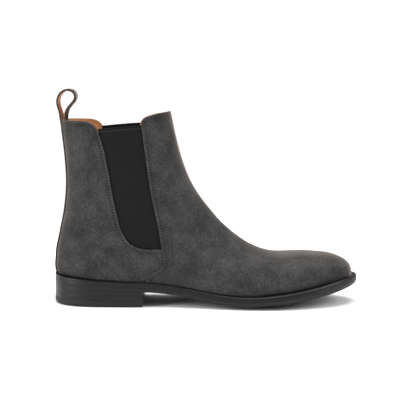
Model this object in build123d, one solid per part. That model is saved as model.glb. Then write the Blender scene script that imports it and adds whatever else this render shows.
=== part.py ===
from build123d import *
import math
import os

# Right-foot chelsea boot, size EU 42-43, millimetres.
# Frame: origin at the centre of the heel's ground face, +X to the toe, +Y to the
# inner (medial) side of the foot, +Z up.

# ---- driving dimensions -------------------------------------------------------------
SUEDE = 1.4            # outer leather
BACKER = 1.35          # interlining, stiffeners and elastic
LINING = 1.0           # calf lining
EASE = 0.05            # air between two layers
WELT_THICK = 3.6
OUTSOLE_THICK = 5.2
WELT_WIDTH = 12.0      # strip width, most of it under the upper
HEEL_BREAST = 44.0     # x of the heel's front face
TOP_LIFT_TOP = 6.5
LIFT_TOP = 12.5
GORE_MARGIN = 7.0      # elastic caught under the leather all round
STRAP_HALF = 7.0       # back strap, half its width
LOOP_WIDTH = 20.0
LOOP_THICK = 2.1
THREAD = 0.8
REACH = 80.0           # half length of every side-view cutter

# Cross-sections of the lasted upper, from above the collar down the shaft, round the
# ankle and along the foot to the toe. Seen from the side each is a straight line:
# front x, z, back x, z, then outer and inner half widths, front and back fullness.
SECTIONS = [
    (69.2, 205, -39.8, 205, 34.0, 34.0, 2.2, 2.1),
    (72.6, 188, -37.3, 187, 34.0, 34.0, 2.2, 2.1),
    (77.2, 166, -34.4, 164, 34.0, 34.0, 2.2, 2.1),
    (83.0, 144, -32.1, 140, 34.5, 34.5, 2.1, 2.1),
    (91.0, 123, -31.5, 118, 35.2, 34.8, 2.05, 2.1),
    (101.0, 106, -33.8, 95, 35.8, 35.2, 2.0, 2.1),
    (111.5, 92.5, -38.6, 71, 36.4, 35.6, 2.0, 2.15),
    (121.5, 81, -42.7, 49, 36.8, 35.8, 2.0, 2.2),
    (131.0, 72.3, -40.0, 27, 37.8, 35.8, 2.0, 2.3),
    (140.0, 65.3, -12.0, 11, 39.0, 36.0, 2.0, 2.4),
    (149.0, 59.4, 30.0, 5, 41.5, 37.5, 2.0, 2.4),
    (159.0, 54.6, 75.0, 1, 45.2, 40.8, 2.05, 2.4),
    (170.0, 51.0, 115.0, -3, 48.3, 44.7, 2.1, 2.4),
    (181.0, 49.8, 147.0, -3, 49.7, 46.9, 2.15, 2.4),
    (193.0, 50.2, 170.0, -1, 48.3, 46.5, 2.2, 2.4),
    (205.0, 50.4, 188.0, 2, 45.5, 44.7, 2.2, 2.4),
    (217.0, 49.8, 203.0, 6, 41.0, 41.0, 2.2, 2.4),
    (228.0, 48.9, 214.5, 10.5, 35.6, 36.2, 2.2, 2.3),
    (238.0, 46.3, 224.0, 14.5, 30.8, 31.8, 2.2, 2.2),
    (246.0, 42.6, 231.0, 18, 26.6, 27.6, 2.1, 2.1),
    (251.2, 37.5, 235.5, 20, 22.6, 23.6, 2.0, 2.0),
    (253.0, 31.5, 238.0, 21.5, 19.4, 20.4, 2.0, 2.0),
    (252.6, 26.0, 239.0, 22, 17.4, 18.4, 2.0, 2.0),
]
LAST_ROW = len(SECTIONS) - 1

# Side-view curves (x, z): top of the welt, and the outsole's lower edge ahead of the heel.
SEAT = [(-50, 30.4), (-20, 27.3), (14, 25.2), (54, 23.0), (84, 19.4), (111, 15.0), (132, 12.6),
        (153, 12.4), (174, 14.1), (196, 17.0), (218, 20.9), (241, 25.6), (268, 29.0)]
TREAD_EDGE = [(44, 15.5), (64, 14.1), (84, 11.4), (101, 7.9), (122, 4.6), (143, 2.9), (164, 4.2),
              (185, 6.0), (207, 8.9), (230, 13.3), (253, 19.1), (268, 22.6)]
# How far the tread bulges below its edges, and half its width there.
CROWN = [(44, 0.4, 37), (70, 1.4, 38), (101, 2.2, 42), (143, 2.9, 51), (185, 2.5, 51),
         (230, 1.6, 36), (268, 1.0, 30)]

# Plan of the sole's edge, heel back round the outer side to the toe and home again.
OUTLINE = [(-44.5, 0), (-40.5, -15), (-31, -26), (-15, -33), (6, -35.5), (34, -36.2), (63, -37),
           (93, -41), (123, -47.5), (153, -52.5), (178, -53), (203, -48), (223, -40.5),
           (240, -29.5), (252.5, -16), (258.8, 1), (253.5, 18.5), (242, 30.5), (224, 41),
           (202, 48), (178, 50.5), (153, 48.5), (123, 41), (93, 34.5), (63, 32.8), (34, 34),
           (6, 34.5), (-15, 32), (-31, 25.2), (-40.5, 14.5)]

# Side-view lines of the panels.
GORE_BACK = [(1.5, 174.4), (6.8, 156.9), (10.3, 140.1), (13.3, 124.1), (15.6, 110.0), (19.7, 91.3),
             (23.6, 77.3), (29.5, 66.3), (37.0, 60.2), (46.4, 57.6)]
GORE_FRONT = [(63.9, 57.3), (61.3, 74.2), (57.3, 94.1), (52.4, 118.8), (48.6, 147.6), (44.3, 179.0)]
SIDE_SEAM = [(63.9, 57.3), (65.5, 52.4), (65.3, 45.6), (63.7, 40.6), (60.6, 37.0), (56.3, 34.0),
             (52.4, 31.3), (49.8, 27.8), (48.4, 22.0)]
QUARTER_TOP = [(-60, 183.0), (-33, 182.6), (-19.9, 182.3), (-9.5, 181.7), (-4.5, 180.2),
               (-1.0, 177.8), (1.5, 174.4)]
FRONT_TOP = [(44.3, 179.0), (44.6, 181.6), (46.4, 184.2), (49.2, 186.2), (55.4, 188.1),
             (63.9, 189.9), (90, 193.0)]
GORE_TOP = [(-12, 173.2), (1.5, 174.8), (28.7, 177.2), (44.3, 178.2), (60, 179.0)]

# Pull loop, seen from the side: centre line of the strap from its back root round to its front one.
LOOP_LINE = [(-37.6, 187.6), (-39.0, 192.4), (-40.4, 198.4), (-40.4, 203.4), (-38.4, 208.6),
             (-34.6, 212.2), (-29.9, 213.2), (-25.6, 211.6), (-23.4, 207.6), (-24.4, 202.8),
             (-28.0, 198.0), (-31.6, 193.4), (-33.4, 187.6)]
LOOP_ROOT = 184.9      # top of the fixed strap ends
LOOP_FOOT = LOOP_LINE[0][1]


# ---- curves and the lasted form -----------------------------------------------------
def hermite(u, before, start, end, after):
    """Smooth step from start to end, u from 0 to 1, slopes taken from the neighbours."""
    m1 = (end - before) / 2
    m2 = (after - start) / 2
    return ((2 * u**3 - 3 * u**2 + 1) * start + (u**3 - 2 * u**2 + u) * m1
            + (3 * u**2 - 2 * u**3) * end + (u**3 - u**2) * m2)


def section_at(row):
    """The eight section values at a row number, which need not be whole."""
    i = min(int(row), LAST_ROW - 1)
    near = [SECTIONS[min(max(k, 0), LAST_ROW)] for k in (i - 1, i, i + 1, i + 2)]
    return [hermite(row - i, *values) for values in zip(*near)]


def along(curve, x, column=1):
    """Value of a table of points at x, by straight lines between them."""
    for a, b in zip(curve, curve[1:]):
        if x <= b[0]:
            break
    u = min(max((x - a[0]) / (b[0] - a[0]), 0), 1)
    return a[column] + u * (b[column] - a[column])


def waist(x, z, medial):
    """Share of the width kept where the upper tucks in under the arch."""
    depth = 0.20 if medial else 0.15
    height = max(z - along(SEAT, x), 0)
    return 1 - depth * math.exp(-((x - 68) / 46) ** 2) * math.exp(-height / 16)


def form_point(row, degrees, inset):
    """Point on the upper: 0 degrees is the front line, 90 the outer side, 180 the back line."""
    fx, fz, bx, bz, outer, inner, front_full, back_full = section_at(row)
    c = math.cos(math.radians(degrees))
    s = math.sin(math.radians(degrees))
    full = front_full + (back_full - front_full) * (1 - c) / 2
    reach = (abs(c) ** full + abs(s) ** full) ** (-1 / full)
    hx, hz = (fx - bx) / 2, (fz - bz) / 2
    keep = 1 - inset / math.hypot(hx, hz)
    x = (fx + bx) / 2 + hx * keep * reach * c
    z = (fz + bz) / 2 + hz * keep * reach * c
    half = (outer if s > 0 else inner) - inset
    return Vector(x, -half * reach * s * waist(x, z, s < 0), z)


def spread(start, end, count):
    return [start + (end - start) * i / (count - 1) for i in range(count)]


def shared_edge(face, p, q):
    """The edge of a face that joins two of its corners."""
    def miss(edge):
        a, b = edge @ 0, edge @ 1
        return min((a - p).length + (b - q).length, (a - q).length + (b - p).length)
    return min(face.edges(), key=miss)


def skin(grid):
    """Smooth face through a grid of points, fitted more loosely if the fit strays from them."""
    points = [p for line in grid for p in line]
    low, high = min(p.X for p in points), max(p.Z for p in points)
    for slack in (0.05, 0.08, 0.12, 0.2):
        face = Face.make_surface_from_array_of_points(grid, tol=slack, min_deg=3, max_deg=3)
        box = face.bounding_box()
        if box.min.X > low - 1 and box.max.Z < high + 1:
            return face
    raise ValueError("no smooth face through these points")


def wall(outer, inner, degrees, rows=(0, LAST_ROW)):
    """Solid between two insets of the upper, over a range of angles and section rows."""
    angles = spread(degrees[0], degrees[1], max(9, round(abs(degrees[1] - degrees[0]) / 9) + 1))
    steps = spread(rows[0], rows[1], round(rows[1] - rows[0]) * 2 + 1)
    grids = [[[form_point(r, a, d) for a in angles] for r in steps] for d in (outer, inner)]
    skins = [skin(g) for g in grids]
    corners = [(0, 0), (0, -1), (-1, -1), (-1, 0)]
    sides = []
    for (i, j), (m, n) in zip(corners, corners[1:] + corners[:1]):
        edges = [shared_edge(s, g[i][j], g[m][n]) for s, g in zip(skins, grids)]
        sides.append(Face.make_surface_from_curves(*edges))
    return Solid(Shell(skins + sides))


# ---- cutters ------------------------------------------------------------------------
def side_face(*lines):
    """Closed side-view face from lists of points, each list a smooth curve."""
    edges = []
    for k, points in enumerate(lines):
        after = lines[(k + 1) % len(lines)][0]
        edges.append(Line(*points) if len(points) == 2 else Spline(*points))
        if math.dist(points[-1], after) > 1e-6:
            edges.append(Line(points[-1], after))
    return Plane.XZ * make_face(edges)


def beside(points, distance):
    """The same line moved sideways, to the right of its direction."""
    moved = []
    for k, (x, z) in enumerate(points):
        a, b = points[max(k - 1, 0)], points[min(k + 1, len(points) - 1)]
        run = math.dist(a, b)
        moved.append((x + (b[1] - a[1]) / run * distance, z - (b[0] - a[0]) / run * distance))
    return moved


def prism(face):
    return extrude(face, REACH, both=True)


def seat_band(top, bottom):
    """Everything between the welt's top raised by top and by bottom."""
    high = [(x, z + top) for x, z in SEAT]
    low = [(x, z + bottom) for x, z in reversed(SEAT)]
    return prism(side_face(high, low))


ABOVE_SEAT = prism(side_face(SEAT, [(268, 260), (-70, 260)], [(-70, 30.4), (-50, 30.4)]))
QUARTER_AREA = side_face(QUARTER_TOP, GORE_BACK[1:-1], [GORE_BACK[-1], SIDE_SEAM[0]], SIDE_SEAM[1:],
                         [(48.4, -20), (-70, -20)])
FRONT_AREA = side_face(FRONT_TOP, [(300, 193), (300, -20)], [(48.4, -20), SIDE_SEAM[-1]],
                       SIDE_SEAM[::-1][1:], GORE_FRONT[1:-1])
NEAR_COLLAR = prism(side_face([(-60, 170.8), (1.5, 168), (44, 171), (64, 177.5), (100, 182)],
                              [(100, 260), (-60, 260)]))
GORE_BELOW_TOP = side_face(GORE_TOP, [(90, 40), (-40, 40)])
COUNTER_AREA = side_face([(-70, 78), (-44, 77), (-20, 68), (2, 52), (16, 36), (20, 10)], [(-70, 10), (-70, 30)])
TOE_AREA = side_face([(206, 60), (200, 40), (204, 10)], [(290, 10), (290, 60)])


def first_solid(shape):
    """The largest solid of a result, free of slivers."""
    return max(shape.solids(), key=lambda s: s.volume)


def layer(level):
    """Outer and inner inset of the suede (0), middle (1) and lining (2) layers."""
    starts = [0, SUEDE + EASE, SUEDE + BACKER + 2 * EASE]
    return starts[level], starts[level] + (SUEDE, BACKER, LINING)[level]


# ---- upper --------------------------------------------------------------------------
def front_panel(level):
    return first_solid(wall(*layer(level), (-160, 160)) & prism(FRONT_AREA) & ABOVE_SEAT)


def quarter_panel(level, side):
    panel = wall(*layer(level), (side * 40, side * 180), (0, 12))
    return first_solid(panel & prism(QUARTER_AREA) & ABOVE_SEAT)


def gore_patch():
    """Side-view shape of the elastic with its caught margin."""
    back = beside(GORE_BACK, GORE_MARGIN)
    front = beside(GORE_FRONT, GORE_MARGIN)
    corner = (front[0][0] - 3, back[-1][1])
    area = side_face(back, [back[-1], corner], [corner, front[0]], front, [front[-1], (50, 195)],
                     [(50, 195), (-10, 195)])
    return prism(area) & prism(GORE_BELOW_TOP)


def make_upper():
    vamp = front_panel(0)
    save("vamp", vamp)
    gore_cut = gore_patch()
    middle_front = front_panel(1) - gore_cut - NEAR_COLLAR
    toe_puff = first_solid(middle_front & prism(TOE_AREA))
    save("toe_puff", toe_puff)
    save("vamp_backer", first_solid(middle_front - prism(TOE_AREA)))
    save("vamp_lining", front_panel(2))
    counter = wall(*layer(1), (40, 320), (3, 12)) & prism(COUNTER_AREA) & ABOVE_SEAT
    save("heel_counter", first_solid(counter))
    for side, name in ((1, "outer"), (-1, "inner")):
        save(f"{name}_quarter", quarter_panel(0, side))
        backer = quarter_panel(1, side) - gore_cut - prism(COUNTER_AREA) - NEAR_COLLAR
        save(f"{name}_quarter_backer", first_solid(backer))
        save(f"{name}_quarter_lining", quarter_panel(2, side))
        gore = wall(*layer(1), (side * 40, side * 150), (0, 10)) & gore_cut
        save(f"{name}_gore", first_solid(gore))


def make_back_strap():
    strip = wall(-1.1, -EASE, (120, 240), (0, 9)) & ABOVE_SEAT
    strip = strip & Box(80, 2 * STRAP_HALF, LOOP_ROOT, align=(Align.MAX, Align.CENTER, Align.MIN))
    save("back_strap", first_solid(strip))


# ---- threads ------------------------------------------------------------------------
def thread(line, side, rows, degrees):
    """Row of stitching lying on the suede along a side-view line."""
    proud = wall(-0.45, -EASE, (side * degrees[0], side * degrees[1]), rows)
    return first_solid(proud & prism(Plane.XZ * trace(line, THREAD)))


def make_threads():
    for side, name in ((1, "outer"), (-1, "inner")):
        back = Spline(*beside(QUARTER_TOP[2:] + GORE_BACK[1:], 2.6))
        save(f"{name}_quarter_thread", thread(back, side, (0, 10), (30, 178)))
        front = Spline(*beside(GORE_FRONT, 2.6)[:-1], (46.8, 178.5), (50.0, 182.8), (58, 185.6), (66, 187.3))
        save(f"{name}_vamp_thread", thread(front, side, (0, 10), (2, 120)))
        seam = Spline(*beside(SIDE_SEAM, -2.6)[1:-1])
        save(f"{name}_seam_thread", thread(seam, side, (6, 13), (50, 150)))


# ---- pull loop ----------------------------------------------------------------------
def strap(line):
    """Band of leather of the loop's width and thickness along a side-view line."""
    return extrude(Plane.XZ * trace(line, LOOP_THICK), LOOP_WIDTH / 2, both=True)


def make_pull_loop():
    band = strap(Spline(*LOOP_LINE))
    middle = prism(side_face(LOOP_LINE, [(-34.5, LOOP_FOOT - 4), (-36.5, LOOP_FOOT - 4)]))
    above = Pos(0, 0, LOOP_FOOT) * Box(200, 50, 60, align=(Align.CENTER, Align.CENTER, Align.MIN))
    save("pull_loop", first_solid((band - middle) & above))
    save("pull_loop_lining", first_solid(band & middle & above))
    back, front = LOOP_LINE[0], LOOP_LINE[-1]
    bends = [strap(Line((x, LOOP_ROOT + EASE), (x, LOOP_FOOT - EASE))) for x in (back[0], front[0])]
    save("pull_loop_bend", Compound([first_solid(bend) for bend in bends]))
    depth = SUEDE + BACKER + LINING + 3 * EASE
    tail = wall(depth, depth + LOOP_THICK, (140, 220), (0, 4))
    block = Box(60, LOOP_WIDTH, 21, align=(Align.CENTER, Align.CENTER, Align.MAX))
    save("pull_loop_tail", first_solid(tail & Pos(-40, 0, LOOP_ROOT) * block))


# ---- bottom -------------------------------------------------------------------------
def plan(inset=0.0):
    """Face of the sole's plan, shrunk by inset."""
    moved = []
    for k, (x, y) in enumerate(OUTLINE):
        a, b = OUTLINE[k - 1], OUTLINE[(k + 1) % len(OUTLINE)]
        run = math.dist(a, b)
        moved.append((x - (b[1] - a[1]) / run * inset, y + (b[0] - a[0]) / run * inset))
    return make_face(Spline(*moved, periodic=True))


def column(face, low=-5, high=60):
    return Pos(0, 0, low) * extrude(face, high - low)


def ahead(x):
    """Everything in front of x."""
    return Pos(x, 0, 0) * Box(400, 200, 200, align=(Align.MIN, Align.CENTER, Align.CENTER))


def tread_section(x):
    """Slice through the outsole's forepart: the tread bulges towards the ground."""
    wide, high = 62, 60
    edge, bulge = along(TREAD_EDGE, x), along(CROWN, x)
    rise = bulge * (wide / along(CROWN, x, 2)) ** 2
    low = [Vector(x, -wide, edge - bulge + rise), Vector(x, 0, edge - bulge),
           Vector(x, wide, edge - bulge + rise)]
    top = [Vector(x, wide, high), Vector(x, -wide, high)]
    return Wire([Edge.make_three_point_arc(*low), Edge.make_line(low[2], top[0]),
                 Edge.make_line(top[0], top[1]), Edge.make_line(top[1], low[0])])


def make_outsole():
    forepart = Solid.make_loft([tread_section(x) for x, z in TREAD_EDGE])
    heel_part = seat_band(0, -WELT_THICK - OUTSOLE_THICK) - ahead(HEEL_BREAST)
    body = (forepart + heel_part) & seat_band(-WELT_THICK, -60) & column(plan())
    save("outsole", first_solid(body))


def make_welt():
    ring = column(plan()) - column(plan(WELT_WIDTH))
    band = seat_band(0, -WELT_THICK + EASE) & ring
    save("welt", first_solid(band & ahead(30)))
    save("heel_rand", first_solid(band - ahead(30 - EASE)))
    groove = column(plan(1.9)) - column(plan(1.9 + THREAD))
    save("welt_thread", first_solid((seat_band(0.45, EASE) & groove) & ahead(140)))


def make_insole():
    inner = WELT_WIDTH + 0.3
    save("insole", first_solid(seat_band(1.5, -1.0) & column(plan(inner))))
    rib = column(plan(inner)) - column(plan(inner + 3))
    save("insole_rib", first_solid(seat_band(-1.0 - EASE, -WELT_THICK + EASE) & rib))
    shank_box = Pos(8, 0, 0) * Box(112, 14, 100, align=(Align.MIN, Align.CENTER, Align.CENTER))
    save("shank", first_solid(seat_band(-1.0 - EASE, -2.3) & shank_box))
    space = seat_band(-1.0 - EASE, -WELT_THICK + EASE) & column(plan(inner + 3.1))
    hollow = seat_band(0, -2.35) & shank_box
    fill = space - hollow
    save("cork_filler", first_solid(fill & ahead(HEEL_BREAST)))
    save("heel_seat_filler", first_solid(fill - ahead(HEEL_BREAST - EASE)))
    pad_top = [(-50, 34.5), (-20, 31.9), (5, 29.9), (30, 27.2), (46, 25.3)]
    pad_low = [(x, along(SEAT, x) + 1.5 + EASE) for x in (46, 14, -20, -50)]
    pad = prism(side_face(pad_top, pad_low))
    save("heel_pad", first_solid(pad & column(plan(inner))))
    sock_low = [(x, z + EASE) for x, z in pad_top[:-1]] + [(x, z + 1.55 + EASE) for x, z in SEAT[3:]]
    sock = prism(side_face(sock_low, [(x, z + 1.0) for x, z in reversed(sock_low)]))
    save("sock_lining", first_solid(sock & column(plan(WELT_WIDTH - 0.2))))


# ---- heel ---------------------------------------------------------------------------
def heel_block(low, high, proud=0.0):
    """Slice of the heel between two heights, its breast slightly hollow."""
    breast = Pos(HEEL_BREAST + 118.5, 0, 0) * Cylinder(120, 100)
    return column(plan(-proud), low, high) - breast - ahead(HEEL_BREAST)


def nails(places, radius, low, high):
    return Compound([Pos(x, y, low) * Cylinder(radius, high - low, align=(Align.CENTER, Align.CENTER, Align.MIN))
                     for x, y in places])


def horseshoe(inset, count):
    """Places along the heel's edge, inset from it, open at the breast."""
    places = []
    for k in range(count):
        angle = math.radians(-100 + 200 * k / (count - 1))
        places.append((8 - (50 - inset) * math.cos(angle), -(35 - inset) * math.sin(angle)))
    return places


def make_heel():
    under_sole = seat_band(-WELT_THICK - OUTSOLE_THICK - EASE, -60)
    seat_holes = nails(horseshoe(13, 7), 0.9 + EASE, 7.1, 40)
    lift_holes = nails(horseshoe(7, 9), 0.7 + EASE, -1, 10.1)
    save("heel_wedge", first_solid((heel_block(LIFT_TOP + EASE, 24) & under_sole) - seat_holes))
    save("heel_lift", first_solid(heel_block(TOP_LIFT_TOP + EASE, LIFT_TOP) - seat_holes - lift_holes))
    save("top_lift", first_solid(heel_block(0, TOP_LIFT_TOP, 0.4) - lift_holes))
    save("heel_nails", nails(horseshoe(13, 7), 0.9, 7.2, 14.0))
    save("top_lift_nails", nails(horseshoe(7, 9), 0.7, 0.0, 10.0))


# ---- output -------------------------------------------------------------------------
def save(name, shape):
    export_step(shape, f"parts/{name}.step")


os.makedirs("parts", exist_ok=True)
make_upper()
make_back_strap()
make_threads()
make_pull_loop()
make_outsole()
make_welt()
make_insole()
make_heel()
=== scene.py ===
import math

import bpy
from bpy.props import FloatProperty, FloatVectorProperty, PointerProperty
from mathutils import Matrix, Vector
from mathutils.kdtree import KDTree


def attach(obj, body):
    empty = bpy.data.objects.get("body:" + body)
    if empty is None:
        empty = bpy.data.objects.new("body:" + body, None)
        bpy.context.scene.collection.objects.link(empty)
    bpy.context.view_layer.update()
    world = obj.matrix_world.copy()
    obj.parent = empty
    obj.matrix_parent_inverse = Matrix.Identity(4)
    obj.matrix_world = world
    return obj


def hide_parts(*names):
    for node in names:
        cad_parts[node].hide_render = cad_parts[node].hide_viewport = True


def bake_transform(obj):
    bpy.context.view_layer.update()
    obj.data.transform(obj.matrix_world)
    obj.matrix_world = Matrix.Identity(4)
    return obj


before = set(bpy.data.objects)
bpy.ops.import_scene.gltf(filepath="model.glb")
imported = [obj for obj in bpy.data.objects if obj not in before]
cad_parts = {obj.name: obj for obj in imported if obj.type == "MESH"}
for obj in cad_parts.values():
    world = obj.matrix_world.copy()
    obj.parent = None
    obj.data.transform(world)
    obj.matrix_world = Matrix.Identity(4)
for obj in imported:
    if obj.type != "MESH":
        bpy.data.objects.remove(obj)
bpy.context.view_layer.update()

bl_info = {
    "name": "Chelsea boot",
    "version": (1, 0, 0),
    "blender": (4, 5, 0),
    "location": "View3D > Sidebar > Boot",
    "description": "Finishes a suede chelsea boot around its packed frame",
    "category": "Object",
}

MM = 0.001

# ---- the last, in millimetres from the centre of the heel's ground face -------------
# Each section of the upper is a straight line seen from the side: front x, z, back x, z,
# outer and inner half widths, front and back fullness.
SECTIONS = [
    (69.2, 205, -39.8, 205, 34.0, 34.0, 2.2, 2.1),
    (72.6, 188, -37.3, 187, 34.0, 34.0, 2.2, 2.1),
    (77.2, 166, -34.4, 164, 34.0, 34.0, 2.2, 2.1),
    (83.0, 144, -32.1, 140, 34.5, 34.5, 2.1, 2.1),
    (91.0, 123, -31.5, 118, 35.2, 34.8, 2.05, 2.1),
    (101.0, 106, -33.8, 95, 35.8, 35.2, 2.0, 2.1),
    (111.5, 92.5, -38.6, 71, 36.4, 35.6, 2.0, 2.15),
    (121.5, 81, -42.7, 49, 36.8, 35.8, 2.0, 2.2),
    (131.0, 72.3, -40.0, 27, 37.8, 35.8, 2.0, 2.3),
    (140.0, 65.3, -12.0, 11, 39.0, 36.0, 2.0, 2.4),
    (149.0, 59.4, 30.0, 5, 41.5, 37.5, 2.0, 2.4),
    (159.0, 54.6, 75.0, 1, 45.2, 40.8, 2.05, 2.4),
    (170.0, 51.0, 115.0, -3, 48.3, 44.7, 2.1, 2.4),
    (181.0, 49.8, 147.0, -3, 49.7, 46.9, 2.15, 2.4),
    (193.0, 50.2, 170.0, -1, 48.3, 46.5, 2.2, 2.4),
    (205.0, 50.4, 188.0, 2, 45.5, 44.7, 2.2, 2.4),
    (217.0, 49.8, 203.0, 6, 41.0, 41.0, 2.2, 2.4),
    (228.0, 48.9, 214.5, 10.5, 35.6, 36.2, 2.2, 2.3),
    (238.0, 46.3, 224.0, 14.5, 30.8, 31.8, 2.2, 2.2),
    (246.0, 42.6, 231.0, 18, 26.6, 27.6, 2.1, 2.1),
    (251.2, 37.5, 235.5, 20, 22.6, 23.6, 2.0, 2.0),
    (253.0, 31.5, 238.0, 21.5, 19.4, 20.4, 2.0, 2.0),
    (252.6, 26.0, 239.0, 22, 17.4, 18.4, 2.0, 2.0),
]
LAST_ROW = len(SECTIONS) - 1
SEAT = [(-50, 30.4), (-20, 27.3), (14, 25.2), (54, 23.0), (84, 19.4), (111, 15.0), (132, 12.6),
        (153, 12.4), (174, 14.1), (196, 17.0), (218, 20.9), (241, 25.6), (268, 29.0)]
TREAD_EDGE = [(44, 15.5), (64, 14.1), (84, 11.4), (101, 7.9), (122, 4.6), (143, 2.9), (164, 4.2),
              (185, 6.0), (207, 8.9), (230, 13.3), (253, 19.1), (268, 22.6)]
CROWN = [(44, 0.4, 37), (70, 1.4, 38), (101, 2.2, 42), (143, 2.9, 51), (185, 2.5, 51),
         (230, 1.6, 36), (268, 1.0, 30)]
OUTLINE = [(-44.5, 0), (-40.5, -15), (-31, -26), (-15, -33), (6, -35.5), (34, -36.2), (63, -37),
           (93, -41), (123, -47.5), (153, -52.5), (178, -53), (203, -48), (223, -40.5),
           (240, -29.5), (252.5, -16), (258.8, 1), (253.5, 18.5), (242, 30.5), (224, 41),
           (202, 48), (178, 50.5), (153, 48.5), (123, 41), (93, 34.5), (63, 32.8), (34, 34),
           (6, 34.5), (-15, 32), (-31, 25.2), (-40.5, 14.5)]
GORE_BACK = [(1.5, 174.4), (6.8, 156.9), (10.3, 140.1), (13.3, 124.1), (15.6, 110.0), (19.7, 91.3),
             (23.6, 77.3), (29.5, 66.3), (37.0, 60.2), (46.4, 57.6)]
GORE_FOOT = [(52.5, 57.2), (58.5, 57.2), (63.0, 57.2)]
GORE_FRONT = [(44.3, 179.0), (48.6, 147.6), (52.4, 118.8), (57.3, 94.1), (61.3, 74.2), (63.9, 57.3)]
SIDE_SEAM = [(63.9, 57.3), (65.5, 52.4), (65.3, 45.6), (63.7, 40.6), (60.6, 37.0), (56.3, 34.0),
             (52.4, 31.3), (49.8, 27.8), (48.4, 22.0)]
QUARTER_TOP = [(-60, 183.0), (-33, 182.6), (-19.9, 182.3), (-9.5, 181.7), (-4.5, 180.2),
               (-1.0, 177.8), (1.5, 174.4)]
FRONT_TOP = [(44.3, 179.0), (44.6, 181.6), (46.4, 184.2), (49.2, 186.2), (55.4, 188.1),
             (63.9, 189.9), (90, 193.0)]
GORE_TOP = [(-12, 173.2), (1.5, 174.8), (28.7, 177.2), (44.3, 178.2), (60, 179.0)]
LOOP_LINE = [(-35.9, 175.6), (-36.6, 179.6), (-37.3, 183.6), (-37.7, 187.6), (-38.4, 192.4),
             (-39.2, 198.0), (-39.0, 202.8), (-36.9, 207.6), (-33.2, 210.9), (-28.8, 211.8),
             (-24.2, 210.2), (-21.9, 206.4), (-22.8, 201.8), (-26.4, 197.4), (-30.4, 193.0),
             (-33.0, 187.6), (-33.5, 182.6), (-31.9, 176.0), (-30.8, 168.0)]
PAD_TOP = [(-50, 34.5), (-20, 31.9), (5, 29.9), (30, 27.2), (46, 25.3)]

HEEL_BREAST = 44.0
RAND_END = 30.0
WELT_THICK = 3.6
OUTSOLE_THICK = 5.2
WELT_WIDTH = 12.0
TOP_LIFT_TOP = 6.5
LIFT_TOP = 12.5
SUEDE_THICK = 1.4
MIDDLE_INSET = 1.45
LINING_INSET = 2.85
SUNK = 1.5
COLLAR_STEPS = 50
TRACE_STEPS = 300
NET_POWER = 3.5
GORE_ROWS = (0.8, 8.2)
GORE_STEPS = 200
STRAP_ROWS = (1.14, 7.98)
STRAP_HALF = 6.9
STRAP_STITCH_HALF = 4.9
STRAP_STITCH_TOP = 172.5
LOOP_HALF = 9.9
RIM_POINTS = 420
PAD_POINTS = 300
WELT_STITCHES = 240
BREAST_RADIUS = 120
WALL_WHITE = 1.05
CAMERA_PLACE = (0.101, -1.1719, 0.2397)
CAMERA_DOWN = 6.7
CAMERA_LENS = 106.2
SIDES = {"outer": 1, "inner": -1}


# ---- curves and the lasted form -----------------------------------------------------
def hermite(u, before, start, end, after):
    m1 = (end - before) / 2
    m2 = (after - start) / 2
    return ((2 * u**3 - 3 * u**2 + 1) * start + (u**3 - 2 * u**2 + u) * m1
            + (3 * u**2 - 2 * u**3) * end + (u**3 - u**2) * m2)


def smooth_line(points, steps=8, closed=False):
    """A smooth line through the points, with so many steps between two of them."""
    count, line = len(points), []
    for i in range(count if closed else count - 1):
        if closed:
            near = [points[(i + k) % count] for k in (-1, 0, 1, 2)]
        else:
            near = [points[min(max(i + k, 0), count - 1)] for k in (-1, 0, 1, 2)]
        for s in range(steps):
            line.append(tuple(hermite(s / steps, *values) for values in zip(*near)))
    return line if closed else line + [tuple(points[-1])]


def along(curve, x, column=1):
    """Value at x on a table of points in order of x."""
    for a, b in zip(curve, curve[1:]):
        if x <= b[0]:
            break
    u = min(max((x - a[0]) / (b[0] - a[0]), 0), 1)
    return a[column] + u * (b[column] - a[column])


SEAT_LINE = smooth_line(SEAT, 6)
FRONT_TOP_LINE = smooth_line(FRONT_TOP, 6)
QUARTER_TOP_LINE = smooth_line(QUARTER_TOP, 6)
TREAD_LINE = smooth_line(TREAD_EDGE, 6)


def seat(x):
    return along(SEAT_LINE, x)


def ease(t):
    """Smooth step, 0 at 0 and below, 1 at 1 and above."""
    t = min(max(t, 0.0), 1.0)
    return t * t * (3 - 2 * t)


def section_at(row):
    i = min(max(int(row), 0), LAST_ROW - 1)
    near = [SECTIONS[min(max(k, 0), LAST_ROW)] for k in (i - 1, i, i + 1, i + 2)]
    return [hermite(row - i, *values) for values in zip(*near)]


def waist(x, z, medial):
    """Share of the width kept where the upper tucks in under the arch."""
    depth = 0.20 if medial else 0.15
    height = max(z - seat(x), 0)
    return 1 - depth * math.exp(-((x - 68) / 46) ** 2) * math.exp(-height / 16)


def form_point(row, degrees, inset=0.0):
    """Point on the upper: 0 degrees is the front line, 90 the outer side, 180 the back line."""
    fx, fz, bx, bz, outer, inner, front_full, back_full = section_at(row)
    c, s = math.cos(math.radians(degrees)), math.sin(math.radians(degrees))
    full = front_full + (back_full - front_full) * (1 - c) / 2
    reach = (abs(c) ** full + abs(s) ** full) ** (-1 / full)
    hx, hz = (fx - bx) / 2, (fz - bz) / 2
    keep = 1 - inset / math.hypot(hx, hz)
    x = (fx + bx) / 2 + hx * keep * reach * c
    z = (fz + bz) / 2 + hz * keep * reach * c
    half = (outer if s > 0 else inner) - inset
    return Vector((x, -half * reach * s * waist(x, z, s < 0), z))


def form_normal(row, degrees):
    """Outward direction of the upper's surface."""
    down = form_point(row + 0.03, degrees) - form_point(row - 0.03, degrees)
    across = form_point(row, degrees + 0.5) - form_point(row, degrees - 0.5)
    normal = down.cross(across).normalized()
    away = form_point(row, degrees, -1) - form_point(row, degrees)
    return normal if normal.dot(away) > 0 else -normal


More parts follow.
